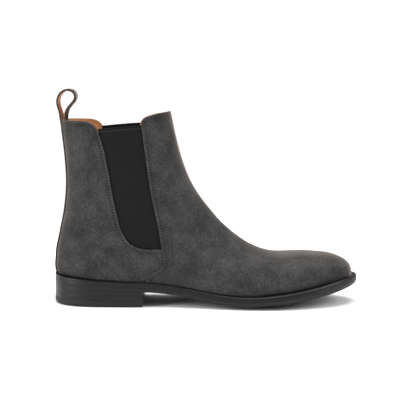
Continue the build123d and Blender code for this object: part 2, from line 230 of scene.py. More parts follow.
def bisect(rule, low, high, steps=34):
    """Where rule changes sign between low and high."""
    start = rule(low) > 0
    for _ in range(steps):
        middle = (low + high) / 2
        if (rule(middle) > 0) == start:
            low = middle
        else:
            high = middle
    return (low + high) / 2


def beyond(row, x, z):
    """Which side of a row's line the side-view point x, z lies on."""
    fx, fz, bx, bz = section_at(row)[:4]
    return (fx - bx) * (z - bz) - (fz - bz) * (x - bx)


def degrees_of(row, x, z):
    """Angle, 0 to 180, at which a row's line reaches x, z."""
    fx, fz, bx, bz, _, _, front_full, back_full = section_at(row)
    hx, hz = (fx - bx) / 2, (fz - bz) / 2
    share = ((x - (fx + bx) / 2) * hx + (z - (fz + bz) / 2) * hz) / (hx * hx + hz * hz)

    def miss(degrees):
        c, s = math.cos(math.radians(degrees)), math.sin(math.radians(degrees))
        full = front_full + (back_full - front_full) * (1 - c) / 2
        return (abs(c) ** full + abs(s) ** full) ** (-1 / full) * c - share
    return bisect(miss, 0, 180)


def on_form(x, z):
    """Row and angle of a side-view point."""
    row = bisect(lambda r: beyond(r, x, z), 0, LAST_ROW)
    return row, degrees_of(row, x, z)


def line_degrees(row, line):
    """Angle at which a row crosses a side-view line, or 180 where it doesn't."""
    sides = [beyond(row, x, z) for x, z in line]
    for k in range(len(line) - 1):
        if (sides[k] > 0) != (sides[k + 1] > 0):
            u = sides[k] / (sides[k] - sides[k + 1])
            return degrees_of(row, line[k][0] + u * (line[k + 1][0] - line[k][0]),
                              line[k][1] + u * (line[k + 1][1] - line[k][1]))
    return 180.0


def above_seat(row, degrees):
    p = form_point(row, degrees)
    return p.z - seat(p.x) + SUNK


def seat_degrees(row, side):
    """Angle at which a row goes down into the crease of the welt."""
    if above_seat(row, side * 180) > 0:
        return 180.0
    if above_seat(row, 0) < 0:
        return 0.0
    return bisect(lambda d: above_seat(row, side * d), 0, 180)


def shares(count):
    return [i / count for i in range(count + 1)]


def evenly(points, stops, where):
    """Points read off a line of (row, degrees) at shares of its real length."""
    places = [where(*p) for p in points]
    lengths = [0.0]
    for a, b in zip(places, places[1:]):
        lengths.append(lengths[-1] + (a - b).length)
    result, k = [], 0
    for stop in stops:
        target = stop * lengths[-1]
        while k < len(points) - 2 and lengths[k + 1] < target:
            k += 1
        u = (target - lengths[k]) / max(lengths[k + 1] - lengths[k], 1e-9)
        result.append(tuple(a + u * (b - a) for a, b in zip(points[k], points[k + 1])))
    return result


def collar_line(line, far, join_x, end_x):
    """Rows and angles along a collar: from angle far to its corner at end_x."""
    join = on_form(join_x, along(line, join_x))[1]
    points = []
    for k in range(COLLAR_STEPS):
        degrees = far + (join - far) * k / COLLAR_STEPS

        def over(row):
            p = form_point(row, degrees)
            return p.z - along(line, p.x)
        points.append((bisect(over, 0, 4), degrees))
    low, high = sorted((join_x, end_x))
    corner = [p for p in line if low - 1e-6 <= p[0] <= high + 1e-6]
    corner.sort(key=lambda p: abs(p[0] - join_x))
    return points + [on_form(*p) for p in corner]


# ---- nets of rows and angles for each panel -----------------------------------------
def vamp_net(columns, rows):
    """From the inner to the outer edge across, from the collar to the toe tip down."""
    line = smooth_line(GORE_FRONT[:-1] + SIDE_SEAM, 8)
    start = on_form(*GORE_FRONT[0])[0]
    steps = [start + (LAST_ROW - start) * k / TRACE_STEPS for k in range(TRACE_STEPS + 1)]
    edges = {s: [min(line_degrees(r, line), seat_degrees(r, s)) for r in steps] for s in (1, -1)}
    ends = [form_point(r, e) for r, e in zip(steps, edges[1])]
    fronts = [form_point(r, 0) for r in steps]
    lengths = [0.0]
    for k in range(TRACE_STEPS):
        lengths.append(lengths[-1] + (ends[k + 1] - ends[k]).length
                       + (fronts[k + 1] - fronts[k]).length)
    collar = collar_line(FRONT_TOP_LINE, 0, FRONT_TOP[4][0], FRONT_TOP[0][0])
    top = evenly(collar, shares(columns // 2), form_point)
    net, k = [], 0
    for j in range(rows + 1):
        while k < TRACE_STEPS - 1 and lengths[k + 1] < lengths[-1] * j / rows:
            k += 1
        u = (lengths[-1] * j / rows - lengths[k]) / (lengths[k + 1] - lengths[k])
        base = steps[k] + u * (steps[k + 1] - steps[k])
        fade = (1 - j / rows) ** 6
        across = []
        for i in range(columns + 1):
            part = abs(2 * i - columns)
            side = 1 if 2 * i > columns else -1
            edge = edges[side][k] + u * (edges[side][k + 1] - edges[side][k])
            row_top, degrees_top = top[part // 2]
            share = part / columns
            drop = 0.07 * ease(share * 2.5) * fade if side < 0 else 0
            across.append((base + (row_top - start) * fade + drop,
                           side * (share * edge + (degrees_top - share * edges[side][0]) * fade)))
        net.append(across)
    return net


def quarter_net(side, columns, rows, drop=0.0):
    """From the back line to the gore's edge across, from the collar to the seat and seam down."""
    line = [(x, z - drop) for x, z in QUARTER_TOP_LINE]
    under = [(x + 3, z) for x, z in SIDE_SEAM]
    gore = [on_form(x, z) for x, z in smooth_line(GORE_BACK + GORE_FOOT + under[:1], 8)]
    seam = [on_form(x, z) for x, z in smooth_line(under, 8) if z > seat(x) - SUNK]
    low = []
    for k in range(81):
        degrees = 180 + (seam[-1][1] - 180) * k / 80
        low.append((bisect(lambda r: above_seat(r, side * degrees), 6, 11), degrees))
    place = lambda row, degrees: form_point(row, side * degrees)
    collar = collar_line(line, 180, QUARTER_TOP[2][0], QUARTER_TOP[-1][0])
    top = evenly(collar, shares(columns), place)
    front = evenly(gore, shares(rows), place)
    low = evenly(low + seam[::-1], shares(columns), place)
    net = []
    for j in range(rows + 1):
        v = (j / rows) ** NET_POWER
        across = []
        for i in range(columns + 1):
            u = i / columns
            back = (top[0][0] + (low[0][0] - top[0][0]) * j / rows, 180)
            both = [(1 - u) * back[k] + u * front[j][k] + (1 - v) * top[i][k] + v * low[i][k]
                    - (1 - u) * (1 - v) * top[0][k] - u * (1 - v) * top[-1][k]
                    - (1 - u) * v * low[0][k] - u * v * low[-1][k] for k in (0, 1)]
            across.append((both[0], side * both[1]))
        net.append(across)
    return net


def gore_net(side, columns, rows):
    """The elastic with its caught margins, from back to front across and downwards."""
    back = smooth_line([(-9, 200)] + [(x - 5, z - 1) for x, z in GORE_BACK] + [(47, 44)], 6)
    front = smooth_line([(46.5, 200)] + [(x + 5, z) for x, z in GORE_FRONT] + [(71, 44)], 6)
    head, foot = GORE_ROWS
    net = [[None] * (columns + 1) for _ in range(rows + 1)]
    steps = [head + (foot - head) * k / GORE_STEPS for k in range(GORE_STEPS + 1)]
    backs = [line_degrees(r, back) for r in steps]
    fronts = [line_degrees(r, front) for r in steps]
    for i in range(columns + 1):
        u = i / columns

        def angle(row):
            place = min(max((row - steps[0]) / (steps[1] - steps[0]), 0), GORE_STEPS - 0.001)
            k = int(place)
            low = backs[k] + u * (fronts[k] - backs[k])
            high = backs[k + 1] + u * (fronts[k + 1] - backs[k + 1])
            return low + (place - k) * (high - low)

        def over(row):
            p = form_point(row, angle(row))
            return p.z - along(GORE_TOP, p.x)
        top = bisect(over, head, 4)
        for j in range(rows + 1):
            row = top + (foot - top) * j / rows
            net[j][i] = (row, side * angle(row))
    return net


# ---- mesh work ----------------------------------------------------------------------
def only(piece):
    """Leaves one object selected and active."""
    bpy.ops.object.select_all(action="DESELECT")
    piece.select_set(True)
    bpy.context.view_layer.objects.active = piece


def modify(piece, kind, **settings):
    """Adds one modifier to a piece and applies it."""
    only(piece)
    modifier = piece.modifiers.new(kind.title(), kind)
    for key, value in settings.items():
        setattr(modifier, key, value)
    bpy.ops.object.modifier_apply(modifier=modifier.name)


def edit(piece, *steps):
    """Runs edit-mode operators on everything in a piece."""
    only(piece)
    bpy.ops.object.mode_set(mode="EDIT")
    bpy.ops.mesh.select_mode(type="VERT")
    bpy.ops.mesh.select_all(action="SELECT")
    for step, settings in steps:
        step(**settings)
    bpy.ops.object.mode_set(mode="OBJECT")


def flat_grid(name, points):
    """A flat grid pulled onto rows of points given in millimetres."""
    rows, columns = len(points) - 1, len(points[0]) - 1
    bpy.ops.object.select_all(action="DESELECT")
    bpy.ops.mesh.primitive_grid_add(x_subdivisions=columns, y_subdivisions=rows, size=1)
    piece = bpy.context.object
    piece.name = name
    for vertex in piece.data.vertices:
        i = round((vertex.co.x + 0.5) * columns)
        j = round((vertex.co.y + 0.5) * rows)
        vertex.co = Vector(points[j][i]) * MM
    return piece


def outward(piece, inside):
    """Turns a sheet so that its faces point away from a point inside, in metres."""
    face = piece.data.polygons[len(piece.data.polygons) // 2]
    if face.normal.dot(face.center - inside) < 0:
        edit(piece, (bpy.ops.mesh.flip_normals, {}))


def distances(points, lines):
    """Distance in millimetres of each point from the nearest point of the lines."""
    marks = [Vector(p) for line in lines for p in line]
    tree = KDTree(len(marks))
    for k, mark in enumerate(marks):
        tree.insert(mark, k)
    tree.balance()
    return [tree.find(p)[2] for p in points]


def note(piece, name, values):
    """Keeps one number for each vertex, for the finish to read."""
    attribute = piece.data.attributes.new(name, "FLOAT", "POINT")
    attribute.data.foreach_set("value", values)


def note_edges(piece, lines):
    """Keeps each vertex's distance from the sewn or cut edges."""
    note(piece, "edge_mm", distances([v.co / MM for v in piece.data.vertices], lines))


def wall_in(piece, thickness, rounding=0.0):
    """Gives a sheet a wall on its inner side and rounds its edges, both in millimetres."""
    modify(piece, "SOLIDIFY", thickness=thickness * MM, offset=-1, use_rim=True)
    if rounding:
        modify(piece, "BEVEL", width=rounding * MM, segments=2, limit_method="ANGLE",
               angle_limit=math.radians(50))


def join_all(pieces, name):
    """Joins pieces in one of that name."""
    bpy.ops.object.select_all(action="DESELECT")
    for piece in pieces:
        piece.select_set(True)
    bpy.context.view_layer.objects.active = pieces[0]
    bpy.ops.object.join()
    pieces[0].name = name
    return pieces[0]


def dress(piece, material, body, replaced=(), smooth=45):
    """Shades a piece, gives it its finish, ties it to its body and hides the CAD nodes it replaces."""
    only(piece)
    bpy.ops.object.shade_smooth_by_angle(angle=math.radians(smooth))
    piece.data.materials.clear()
    piece.data.materials.append(material)
    if body:
        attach(piece, body)
    if replaced:
        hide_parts(*replaced)
    return piece


def sheet_piece(name, points, seams, thickness, rounding):
    """Sheet on the form with a wall inwards, and its distance from its sewn edges kept."""
    piece = flat_grid(name, points)
    middle = points[len(points) // 2][len(points[0]) // 2]
    row = on_form(middle.x, middle.z)[0]
    outward(piece, (form_point(row, 0) + form_point(row, 180)) / 2 * MM)
    note_edges(piece, seams)
    # Height above the welt, read by the suede's painted crease shade.
    note(piece, "foot_mm", [v.co.z / MM - seat(v.co.x / MM) for v in piece.data.vertices])
    wall_in(piece, thickness, rounding)
    return piece


def closed_outline(inset=0.0, count=360):
    """Evenly spaced points of the sole's edge, moved in by inset."""
    line = smooth_line(OUTLINE, 24, closed=True)
    lengths = [0.0]
    for a, b in zip(line, line[1:] + line[:1]):
        lengths.append(lengths[-1] + math.dist(a, b))
    even, k = [], 0
    for i in range(count):
        target = lengths[-1] * i / count
        while lengths[k + 1] < target:
            k += 1
        u = (target - lengths[k]) / (lengths[k + 1] - lengths[k])
        a, b = line[k], line[(k + 1) % len(line)]
        even.append((a[0] + u * (b[0] - a[0]), a[1] + u * (b[1] - a[1])))
    moved = []
    for i in range(count):
        a, b = even[i - 3], even[(i + 3) % count]
        run = math.dist(a, b)
        moved.append((even[i][0] - (b[1] - a[1]) / run * inset,
                      even[i][1] + (b[0] - a[0]) / run * inset))
    return moved


def rings_piece(name, rings):
    """Closed body through rings of points in millimetres, the first and last filled."""
    piece = flat_grid(name, [ring + ring[:1] for ring in rings])
    edit(piece, (bpy.ops.mesh.remove_doubles, {"threshold": 0.000005}),
         (bpy.ops.mesh.select_all, {"action": "DESELECT"}),
         (bpy.ops.mesh.select_non_manifold, {}),
         (bpy.ops.mesh.fill_holes, {"sides": 0}),
         (bpy.ops.mesh.select_all, {"action": "SELECT"}),
         (bpy.ops.mesh.normals_make_consistent, {"inside": False}))
    return piece


def shrunk(ring, share, low=-12.0, high=215.0):
    """The ring drawn in towards a line down the middle of the sole."""
    return [(min(max(x, low), high) + (x - min(max(x, low), high)) * share, y * share)
            for x, y in ring]


def beside(line, distance):
    """The same side-view line moved to the right of its direction."""
    moved = []
    for k, (x, z) in enumerate(line):
        a, b = line[max(k - 1, 0)], line[min(k + 1, len(line) - 1)]
        run = math.dist(a, b)
        moved.append((x + (b[1] - a[1]) / run * distance, z - (b[0] - a[0]) / run * distance))
    return moved


# ---- finishes -----------------------------------------------------------------------
def new_material(name):
    """An empty node material and its two collections."""
    material = bpy.data.materials.new(name)
    material.use_nodes = True
    material.node_tree.nodes.clear()
    return material, material.node_tree.nodes, material.node_tree.links


def arrange(nodes, groups):
    """Puts the nodes of each effect side by side in a frame of their own."""
    for row, (title, members) in enumerate(groups):
        frame_node = nodes.new("NodeFrame")
        frame_node.label = title
        for column, node in enumerate(members):
            node.parent = frame_node
            node.location = (column * 220, -row * 420)


def suede(name, colour, sheen):
    """Brushed suede: cloudy nap, fine fibres, sewn edges with painted shade and a painted highlight,
    painted shade in the crease of the welt, and a dusty sheen.
    """
    material, nodes, links = new_material(name)
    place = nodes.new("ShaderNodeTexCoord")
    place.label = "Place on the boot"
    clouds = nodes.new("ShaderNodeTexNoise")
    clouds.label = "Brushed clouds in the nap"
    clouds.inputs["Scale"].default_value = 62
    clouds.inputs["Detail"].default_value = 3
    clouds.inputs["Roughness"].default_value = 0.55
    cloud_tone = nodes.new("ShaderNodeValToRGB")
    cloud_tone.label = "Nap laid dark or light"
    cloud_tone.color_ramp.elements[0].position = 0.34
    cloud_tone.color_ramp.elements[0].color = [c * 0.72 for c in colour] + [1]
    cloud_tone.color_ramp.elements[1].position = 0.66
    pale = (colour[0] * 1.30, colour[1] * 1.27, colour[2] * 1.25)
    cloud_tone.color_ramp.elements[1].color = [*pale, 1]
    fibres = nodes.new("ShaderNodeTexNoise")
    fibres.label = "Fine fibres"
    fibres.inputs["Scale"].default_value = 1500
    fibres.inputs["Detail"].default_value = 4
    fibres.inputs["Roughness"].default_value = 0.7
    fibre_tone = nodes.new("ShaderNodeMapRange")
    fibre_tone.label = "Fibres light and dark"
    fibre_tone.inputs["From Min"].default_value = 0.3
    fibre_tone.inputs["From Max"].default_value = 0.7
    fibre_tone.inputs["To Min"].default_value = 0.80
    fibre_tone.inputs["To Max"].default_value = 1.20
    tufts = nodes.new("ShaderNodeTexNoise")
    tufts.label = "Tufts"
    tufts.inputs["Scale"].default_value = 560
    tufts.inputs["Detail"].default_value = 2
    tuft_tone = nodes.new("ShaderNodeMapRange")
    tuft_tone.label = "Tufts light and dark"
    tuft_tone.inputs["From Min"].default_value = 0.3
    tuft_tone.inputs["From Max"].default_value = 0.7
    tuft_tone.inputs["To Min"].default_value = 0.66
    tuft_tone.inputs["To Max"].default_value = 1.34
    fuzz = nodes.new("ShaderNodeMath")
    fuzz.label = "Fibres over tufts"
    fuzz.operation = "MULTIPLY"
    grainy = nodes.new("ShaderNodeVectorMath")
    grainy.label = "Clouds with fibres"
    grainy.operation = "SCALE"
    edge = nodes.new("ShaderNodeAttribute")
    edge.label = "Distance from the sewn edge"
    edge.attribute_name = "edge_mm"
    # Along the sewn edge: the cut edge is darker, partly its own colour and partly painted shade at its
    # step; the pale pressed line is a painted highlight; the dark stitch groove is painted shade.
    edge_shade_and_highlight = nodes.new("ShaderNodeValToRGB")
    edge_shade_and_highlight.label = "Dark cut edge, pale pressed line, dark stitch groove"
    ramp = edge_shade_and_highlight.color_ramp
    ramp.elements[1].position = 0.55
    ramp.elements[0].color = (0.60, 0.60, 0.60, 1)
    for position, value in ((0.07, 1.22), (0.16, 1.12), (0.25, 0.80), (0.36, 0.92)):
        element = ramp.elements.new(position)
        element.color = (value, value, value, 1)
    edge_scale = nodes.new("ShaderNodeMath")
    edge_scale.label = "Ten millimetres as one"
    edge_scale.operation = "MULTIPLY"
    edge_scale.inputs[1].default_value = 0.1
    foot = nodes.new("ShaderNodeAttribute")
    foot.label = "Height above the welt"
    foot.attribute_name = "foot_mm"
    # Painted shade in the crease of the welt: the suede darkens almost to black in its lowest 2.3 mm
    # above the welt.
    crease_shade = nodes.new("ShaderNodeMapRange")
    crease_shade.label = "Dark in the crease of the welt"
    crease_shade.inputs["From Min"].default_value = 0.0
    crease_shade.inputs["From Max"].default_value = 2.3
    crease_shade.inputs["To Min"].default_value = 0.06
    crease_shade.inputs["To Max"].default_value = 1.0
    shade = nodes.new("ShaderNodeMath")
    shade.label = "Edge and crease shading"
    shade.operation = "MULTIPLY"
    coloured = nodes.new("ShaderNodeVectorMath")
    coloured.label = "Shaded nap"
    coloured.operation = "SCALE"
    nap = nodes.new("ShaderNodeTexNoise")
    nap.label = "Tufts of nap"
    nap.inputs["Scale"].default_value = 620
    nap.inputs["Detail"].default_value = 5
    nap.inputs["Roughness"].default_value = 0.75
    nap_bump = nodes.new("ShaderNodeBump")
    nap_bump.label = "Raised nap"
    nap_bump.inputs["Strength"].default_value = 0.55
    nap_bump.inputs["Distance"].default_value = 0.00035
    handle_noise = nodes.new("ShaderNodeTexNoise")
    handle_noise.label = "Soft handling of the skin"
    handle_noise.inputs["Scale"].default_value = 38
    handle_noise.inputs["Detail"].default_value = 2
    handle_bump = nodes.new("ShaderNodeBump")
    handle_bump.label = "Slow unevenness"
    handle_bump.inputs["Strength"].default_value = 0.35
    handle_bump.inputs["Distance"].default_value = 0.0016
    skin = nodes.new("ShaderNodeBsdfPrincipled")
    skin.label = "Suede"
    skin.inputs["Roughness"].default_value = 0.95
    skin.inputs["Specular IOR Level"].default_value = 0.12
    skin.inputs["Sheen Weight"].default_value = sheen
    skin.inputs["Sheen Roughness"].default_value = 0.32
    skin.inputs["Sheen Tint"].default_value = (1.0, 0.84, 0.76, 1)
    output = nodes.new("ShaderNodeOutputMaterial")
    output.label = "Suede surface"
    for texture in (clouds, fibres, tufts, nap, handle_noise):
        links.new(place.outputs["Object"], texture.inputs["Vector"])
    links.new(clouds.outputs["Fac"], cloud_tone.inputs["Fac"])
    links.new(fibres.outputs["Fac"], fibre_tone.inputs["Value"])
    links.new(cloud_tone.outputs["Color"], grainy.inputs[0])
    links.new(tufts.outputs["Fac"], tuft_tone.inputs["Value"])
    links.new(fibre_tone.outputs["Result"], fuzz.inputs[0])
    links.new(tuft_tone.outputs["Result"], fuzz.inputs[1])
    links.new(fuzz.outputs["Value"], grainy.inputs["Scale"])
    links.new(edge.outputs["Fac"], edge_scale.inputs[0])
    links.new(edge_scale.outputs["Value"], edge_shade_and_highlight.inputs["Fac"])
    links.new(foot.outputs["Fac"], crease_shade.inputs["Value"])
    links.new(edge_shade_and_highlight.outputs["Color"], shade.inputs[0])
    links.new(crease_shade.outputs["Result"], shade.inputs[1])
    links.new(grainy.outputs["Vector"], coloured.inputs[0])
    links.new(shade.outputs["Value"], coloured.inputs["Scale"])
    links.new(coloured.outputs["Vector"], skin.inputs["Base Color"])
    links.new(handle_noise.outputs["Fac"], handle_bump.inputs["Height"])
    links.new(nap.outputs["Fac"], nap_bump.inputs["Height"])
    links.new(handle_bump.outputs["Normal"], nap_bump.inputs["Normal"])
    links.new(nap_bump.outputs["Normal"], skin.inputs["Normal"])
    links.new(skin.outputs["BSDF"], output.inputs["Surface"])
    arrange(nodes, [("Nap colour", (place, clouds, cloud_tone, fibres, fibre_tone, tufts, tuft_tone,
                                    fuzz, grainy)),
                    ("Sewn edges and crease", (edge, edge_scale, edge_shade_and_highlight, foot, crease_shade, shade,
                                               coloured)),
                    ("Nap relief", (nap, nap_bump, handle_noise, handle_bump)),
                    ("Surface", (skin, output))])
    return material


def elastic(name, colour):
    """Woven elastic: rubber cords under fine cross threads, dull and dark, with painted shade between
    the cords.
    """
    material, nodes, links = new_material(name)
    place = nodes.new("ShaderNodeTexCoord")
    place.label = "Place on the boot"
    yarn = nodes.new("ShaderNodeTexNoise")
    yarn.label = "Yarn fuzz"
    yarn.inputs["Scale"].default_value = 1900
    yarn.inputs["Detail"].default_value = 3
    cross = nodes.new("ShaderNodeTexWave")
    cross.label = "Cross threads"
    cross.bands_direction = "Z"
    cross.inputs["Scale"].default_value = 420
    cross.inputs["Distortion"].default_value = 1.2
    cross.inputs["Detail"].default_value = 2
    cross.inputs["Detail Scale"].default_value = 1.5
    cord = nodes.new("ShaderNodeAttribute")
    cord.label = "Height on the rubber cords"
    cord.attribute_name = "rib"
    woven = nodes.new("ShaderNodeMath")
    woven.label = "Threads over cords"
    woven.operation = "ADD"
    # The colour follows the cords' height: painted shade in the grooves between the cords and a painted
    # highlight on their tops; the cross threads are the weave's own pattern.
    tone = nodes.new("ShaderNodeValToRGB")
    tone.label = "Dark between cords, greyer on top"
    tone.color_ramp.elements[0].position = 0.25
    tone.color_ramp.elements[0].color = [c * 0.72 for c in colour] + [1]
    tone.color_ramp.elements[1].position = 1.55 / 2
    tone.color_ramp.elements[1].color = [c * 1.32 for c in colour] + [1]
    halve = nodes.new("ShaderNodeMath")
    halve.label = "Mean of threads and cords"
    halve.operation = "MULTIPLY"
    halve.inputs[1].default_value = 0.5
    edge = nodes.new("ShaderNodeAttribute")
    edge.label = "Distance from the woven top edge"
    edge.attribute_name = "edge_mm"
    band = nodes.new("ShaderNodeValToRGB")
    band.label = "Pale line under the woven band"
    ramp = band.color_ramp
    ramp.elements[1].position = 0.60
    ramp.elements[0].color = (1.9, 1.9, 1.9, 1)
    for position, value in ((0.06, 0.85), (0.20, 0.80), (0.27, 2.2), (0.34, 2.1), (0.40, 0.85)):
        element = ramp.elements.new(position)
        element.color = (value, value, value, 1)
    edge_scale = nodes.new("ShaderNodeMath")
    edge_scale.label = "Ten millimetres as one"
    edge_scale.operation = "MULTIPLY"
    edge_scale.inputs[1].default_value = 0.1
    coloured = nodes.new("ShaderNodeVectorMath")
    coloured.label = "Weave with its band"
    coloured.operation = "SCALE"
    bump = nodes.new("ShaderNodeBump")
    bump.label = "Thread relief"
    bump.inputs["Strength"].default_value = 0.5
    bump.inputs["Distance"].default_value = 0.0002
    cloth = nodes.new("ShaderNodeBsdfPrincipled")
    cloth.label = "Elastic cloth"
    cloth.inputs["Roughness"].default_value = 0.88
    cloth.inputs["Specular IOR Level"].default_value = 0.08
    cloth.inputs["Sheen Weight"].default_value = 0.02
    cloth.inputs["Sheen Roughness"].default_value = 0.6
    output = nodes.new("ShaderNodeOutputMaterial")
    output.label = "Elastic surface"
    links.new(place.outputs["Object"], yarn.inputs["Vector"])
    links.new(place.outputs["Object"], cross.inputs["Vector"])
    links.new(cross.outputs["Fac"], woven.inputs[0])
    links.new(cord.outputs["Fac"], woven.inputs[1])
    links.new(woven.outputs["Value"], halve.inputs[0])
    links.new(halve.outputs["Value"], tone.inputs["Fac"])
    links.new(edge.outputs["Fac"], edge_scale.inputs[0])
    links.new(edge_scale.outputs["Value"], band.inputs["Fac"])
    links.new(tone.outputs["Color"], coloured.inputs[0])
    links.new(band.outputs["Color"], coloured.inputs["Scale"])
    links.new(coloured.outputs["Vector"], cloth.inputs["Base Color"])
    links.new(yarn.outputs["Fac"], bump.inputs["Height"])
    links.new(bump.outputs["Normal"], cloth.inputs["Normal"])
    links.new(cloth.outputs["BSDF"], output.inputs["Surface"])
    arrange(nodes, [("Weave", (place, cross, cord, woven, halve, tone)),
                    ("Top band", (edge, edge_scale, band, coloured)),
                    ("Thread relief", (yarn, bump)), ("Surface", (cloth, output))])
    return material


def leather(name, colour, roughness, grain, relief, gloss=0.5, dyed_edge=False):
    """Smooth leather: grain with painted shadow between its cells, fine pores, slow colour drift and,
    where asked, a dyed cut edge.
    """
    material, nodes, links = new_material(name)
    place = nodes.new("ShaderNodeTexCoord")
    place.label = "Place on the boot"
    drift = nodes.new("ShaderNodeTexNoise")
    drift.label = "Slow drift of the dye"
    drift.inputs["Scale"].default_value = 45
    drift.inputs["Detail"].default_value = 3
    drift_tone = nodes.new("ShaderNodeValToRGB")
    drift_tone.label = "Deeper and paler dye"
    drift_tone.color_ramp.elements[0].position = 0.3
    drift_tone.color_ramp.elements[0].color = [c * 0.84 for c in colour] + [1]
    drift_tone.color_ramp.elements[1].position = 0.7
    drift_tone.color_ramp.elements[1].color = [c * 1.12 for c in colour] + [1]
    cells = nodes.new("ShaderNodeTexVoronoi")
    cells.label = "Grain cells"
    cells.feature = "DISTANCE_TO_EDGE"
    cells.inputs["Scale"].default_value = grain
    # Painted shadow between the grain cells.
    cell_shadow = nodes.new("ShaderNodeMapRange")
    cell_shadow.label = "Shadow between the cells"
    cell_shadow.inputs["From Max"].default_value = 0.18
    cell_shadow.inputs["To Min"].default_value = 0.80
    cell_shadow.inputs["To Max"].default_value = 1.0
    grained = nodes.new("ShaderNodeVectorMath")
    grained.label = "Dye with grain"
    grained.operation = "SCALE"
    pores = nodes.new("ShaderNodeTexNoise")
    pores.label = "Pores and fine wrinkles"
    pores.inputs["Scale"].default_value = grain * 2.2
    pores.inputs["Detail"].default_value = 4
    rub = nodes.new("ShaderNodeMapRange")
    rub.label = "Rubbed duller and shinier"
    rub.inputs["To Min"].default_value = roughness - 0.08
    rub.inputs["To Max"].default_value = roughness + 0.10
    cell_bump = nodes.new("ShaderNodeBump")
    cell_bump.label = "Grain relief"
    cell_bump.inputs["Strength"].default_value = relief
    cell_bump.inputs["Distance"].default_value = 0.00015
    pore_bump = nodes.new("ShaderNodeBump")
    pore_bump.label = "Pore relief"
    pore_bump.inputs["Strength"].default_value = relief * 0.6
    pore_bump.inputs["Distance"].default_value = 0.00012
    hide = nodes.new("ShaderNodeBsdfPrincipled")
    hide.label = "Leather"
    hide.inputs["Specular IOR Level"].default_value = gloss
    output = nodes.new("ShaderNodeOutputMaterial")
    output.label = "Leather surface"
    for texture in (drift, cells, pores):
        links.new(place.outputs["Object"], texture.inputs["Vector"])
    links.new(drift.outputs["Fac"], drift_tone.inputs["Fac"])
    links.new(cells.outputs["Distance"], cell_shadow.inputs["Value"])
    links.new(drift_tone.outputs["Color"], grained.inputs[0])
    links.new(cell_shadow.outputs["Result"], grained.inputs["Scale"])
    links.new(grained.outputs["Vector"], hide.inputs["Base Color"])
    effects = [("Dye and grain", (place, drift, drift_tone, cells, cell_shadow, grained)),
               ("Gloss", (pores, rub)), ("Relief", (cell_bump, pore_bump)),
               ("Surface", (hide, output))]
    if dyed_edge:
        edge = nodes.new("ShaderNodeAttribute")
        edge.label = "Distance from the cut edge"
        edge.attribute_name = "edge_mm"
        dye = nodes.new("ShaderNodeMapRange")
        dye.label = "Dark dye on the cut edge"
        dye.inputs["From Min"].default_value = 0.1
        dye.inputs["From Max"].default_value = 0.6
        dye.inputs["To Min"].default_value = 0.16
        dyed = nodes.new("ShaderNodeVectorMath")
        dyed.label = "Dyed edge over the grain"
        dyed.operation = "SCALE"
        links.new(edge.outputs["Fac"], dye.inputs["Value"])
        links.new(grained.outputs["Vector"], dyed.inputs[0])
        links.new(dye.outputs["Result"], dyed.inputs["Scale"])
        links.new(dyed.outputs["Vector"], hide.inputs["Base Color"])
        effects.append(("Dyed edge", (edge, dye, dyed)))
    links.new(pores.outputs["Fac"], rub.inputs["Value"])
    links.new(rub.outputs["Result"], hide.inputs["Roughness"])
    links.new(cells.outputs["Distance"], cell_bump.inputs["Height"])
    links.new(pores.outputs["Fac"], pore_bump.inputs["Height"])
    links.new(cell_bump.outputs["Normal"], pore_bump.inputs["Normal"])
    links.new(pore_bump.outputs["Normal"], hide.inputs["Normal"])
    links.new(hide.outputs["BSDF"], output.inputs["Surface"])
    arrange(nodes, effects)
    return material


def edge_wax(name, colour, roughness):
    """Inked and waxed leather edge: faint layers along it and polished streaks."""
    material, nodes, links = new_material(name)
    place = nodes.new("ShaderNodeTexCoord")
    place.label = "Place on the boot"
    stretch = nodes.new("ShaderNodeMapping")
    stretch.label = "Fibres lie along the sole"
    stretch.inputs["Scale"].default_value = (60, 60, 900)
    fibres = nodes.new("ShaderNodeTexNoise")
    fibres.label = "Pressed fibres"
    fibres.inputs["Scale"].default_value = 1
    fibres.inputs["Detail"].default_value = 4
    tone = nodes.new("ShaderNodeValToRGB")
    tone.label = "Ink over the fibres"
    tone.color_ramp.elements[0].position = 0.3
    tone.color_ramp.elements[0].color = [c * 0.85 for c in colour] + [1]
    tone.color_ramp.elements[1].position = 0.72
    tone.color_ramp.elements[1].color = [c * 1.18 for c in colour] + [1]
    smear = nodes.new("ShaderNodeTexNoise")
    smear.label = "Wax smears"
    smear.inputs["Scale"].default_value = 90
    smear.inputs["Detail"].default_value = 3
    polish = nodes.new("ShaderNodeMapRange")
    polish.label = "Wax polished and dull"
    polish.inputs["To Min"].default_value = roughness - 0.10
    polish.inputs["To Max"].default_value = roughness + 0.14
    bump = nodes.new("ShaderNodeBump")
    bump.label = "Fibre relief"
    bump.inputs["Strength"].default_value = 0.22
    bump.inputs["Distance"].default_value = 0.00015
    wax = nodes.new("ShaderNodeBsdfPrincipled")
    wax.label = "Waxed edge"
    wax.inputs["Specular IOR Level"].default_value = 0.27
    output = nodes.new("ShaderNodeOutputMaterial")
    output.label = "Edge surface"
    links.new(place.outputs["Object"], stretch.inputs["Vector"])
    links.new(place.outputs["Object"], smear.inputs["Vector"])
    links.new(stretch.outputs["Vector"], fibres.inputs["Vector"])
    links.new(fibres.outputs["Fac"], tone.inputs["Fac"])
    links.new(tone.outputs["Color"], wax.inputs["Base Color"])
    links.new(smear.outputs["Fac"], polish.inputs["Value"])
    links.new(polish.outputs["Result"], wax.inputs["Roughness"])
    links.new(fibres.outputs["Fac"], bump.inputs["Height"])
    links.new(bump.outputs["Normal"], wax.inputs["Normal"])
    links.new(wax.outputs["BSDF"], output.inputs["Surface"])
    arrange(nodes, [("Inked fibres", (place, stretch, fibres, tone)), ("Wax", (smear, polish)),
                    ("Relief", (bump,)), ("Surface", (wax, output))])
    return material


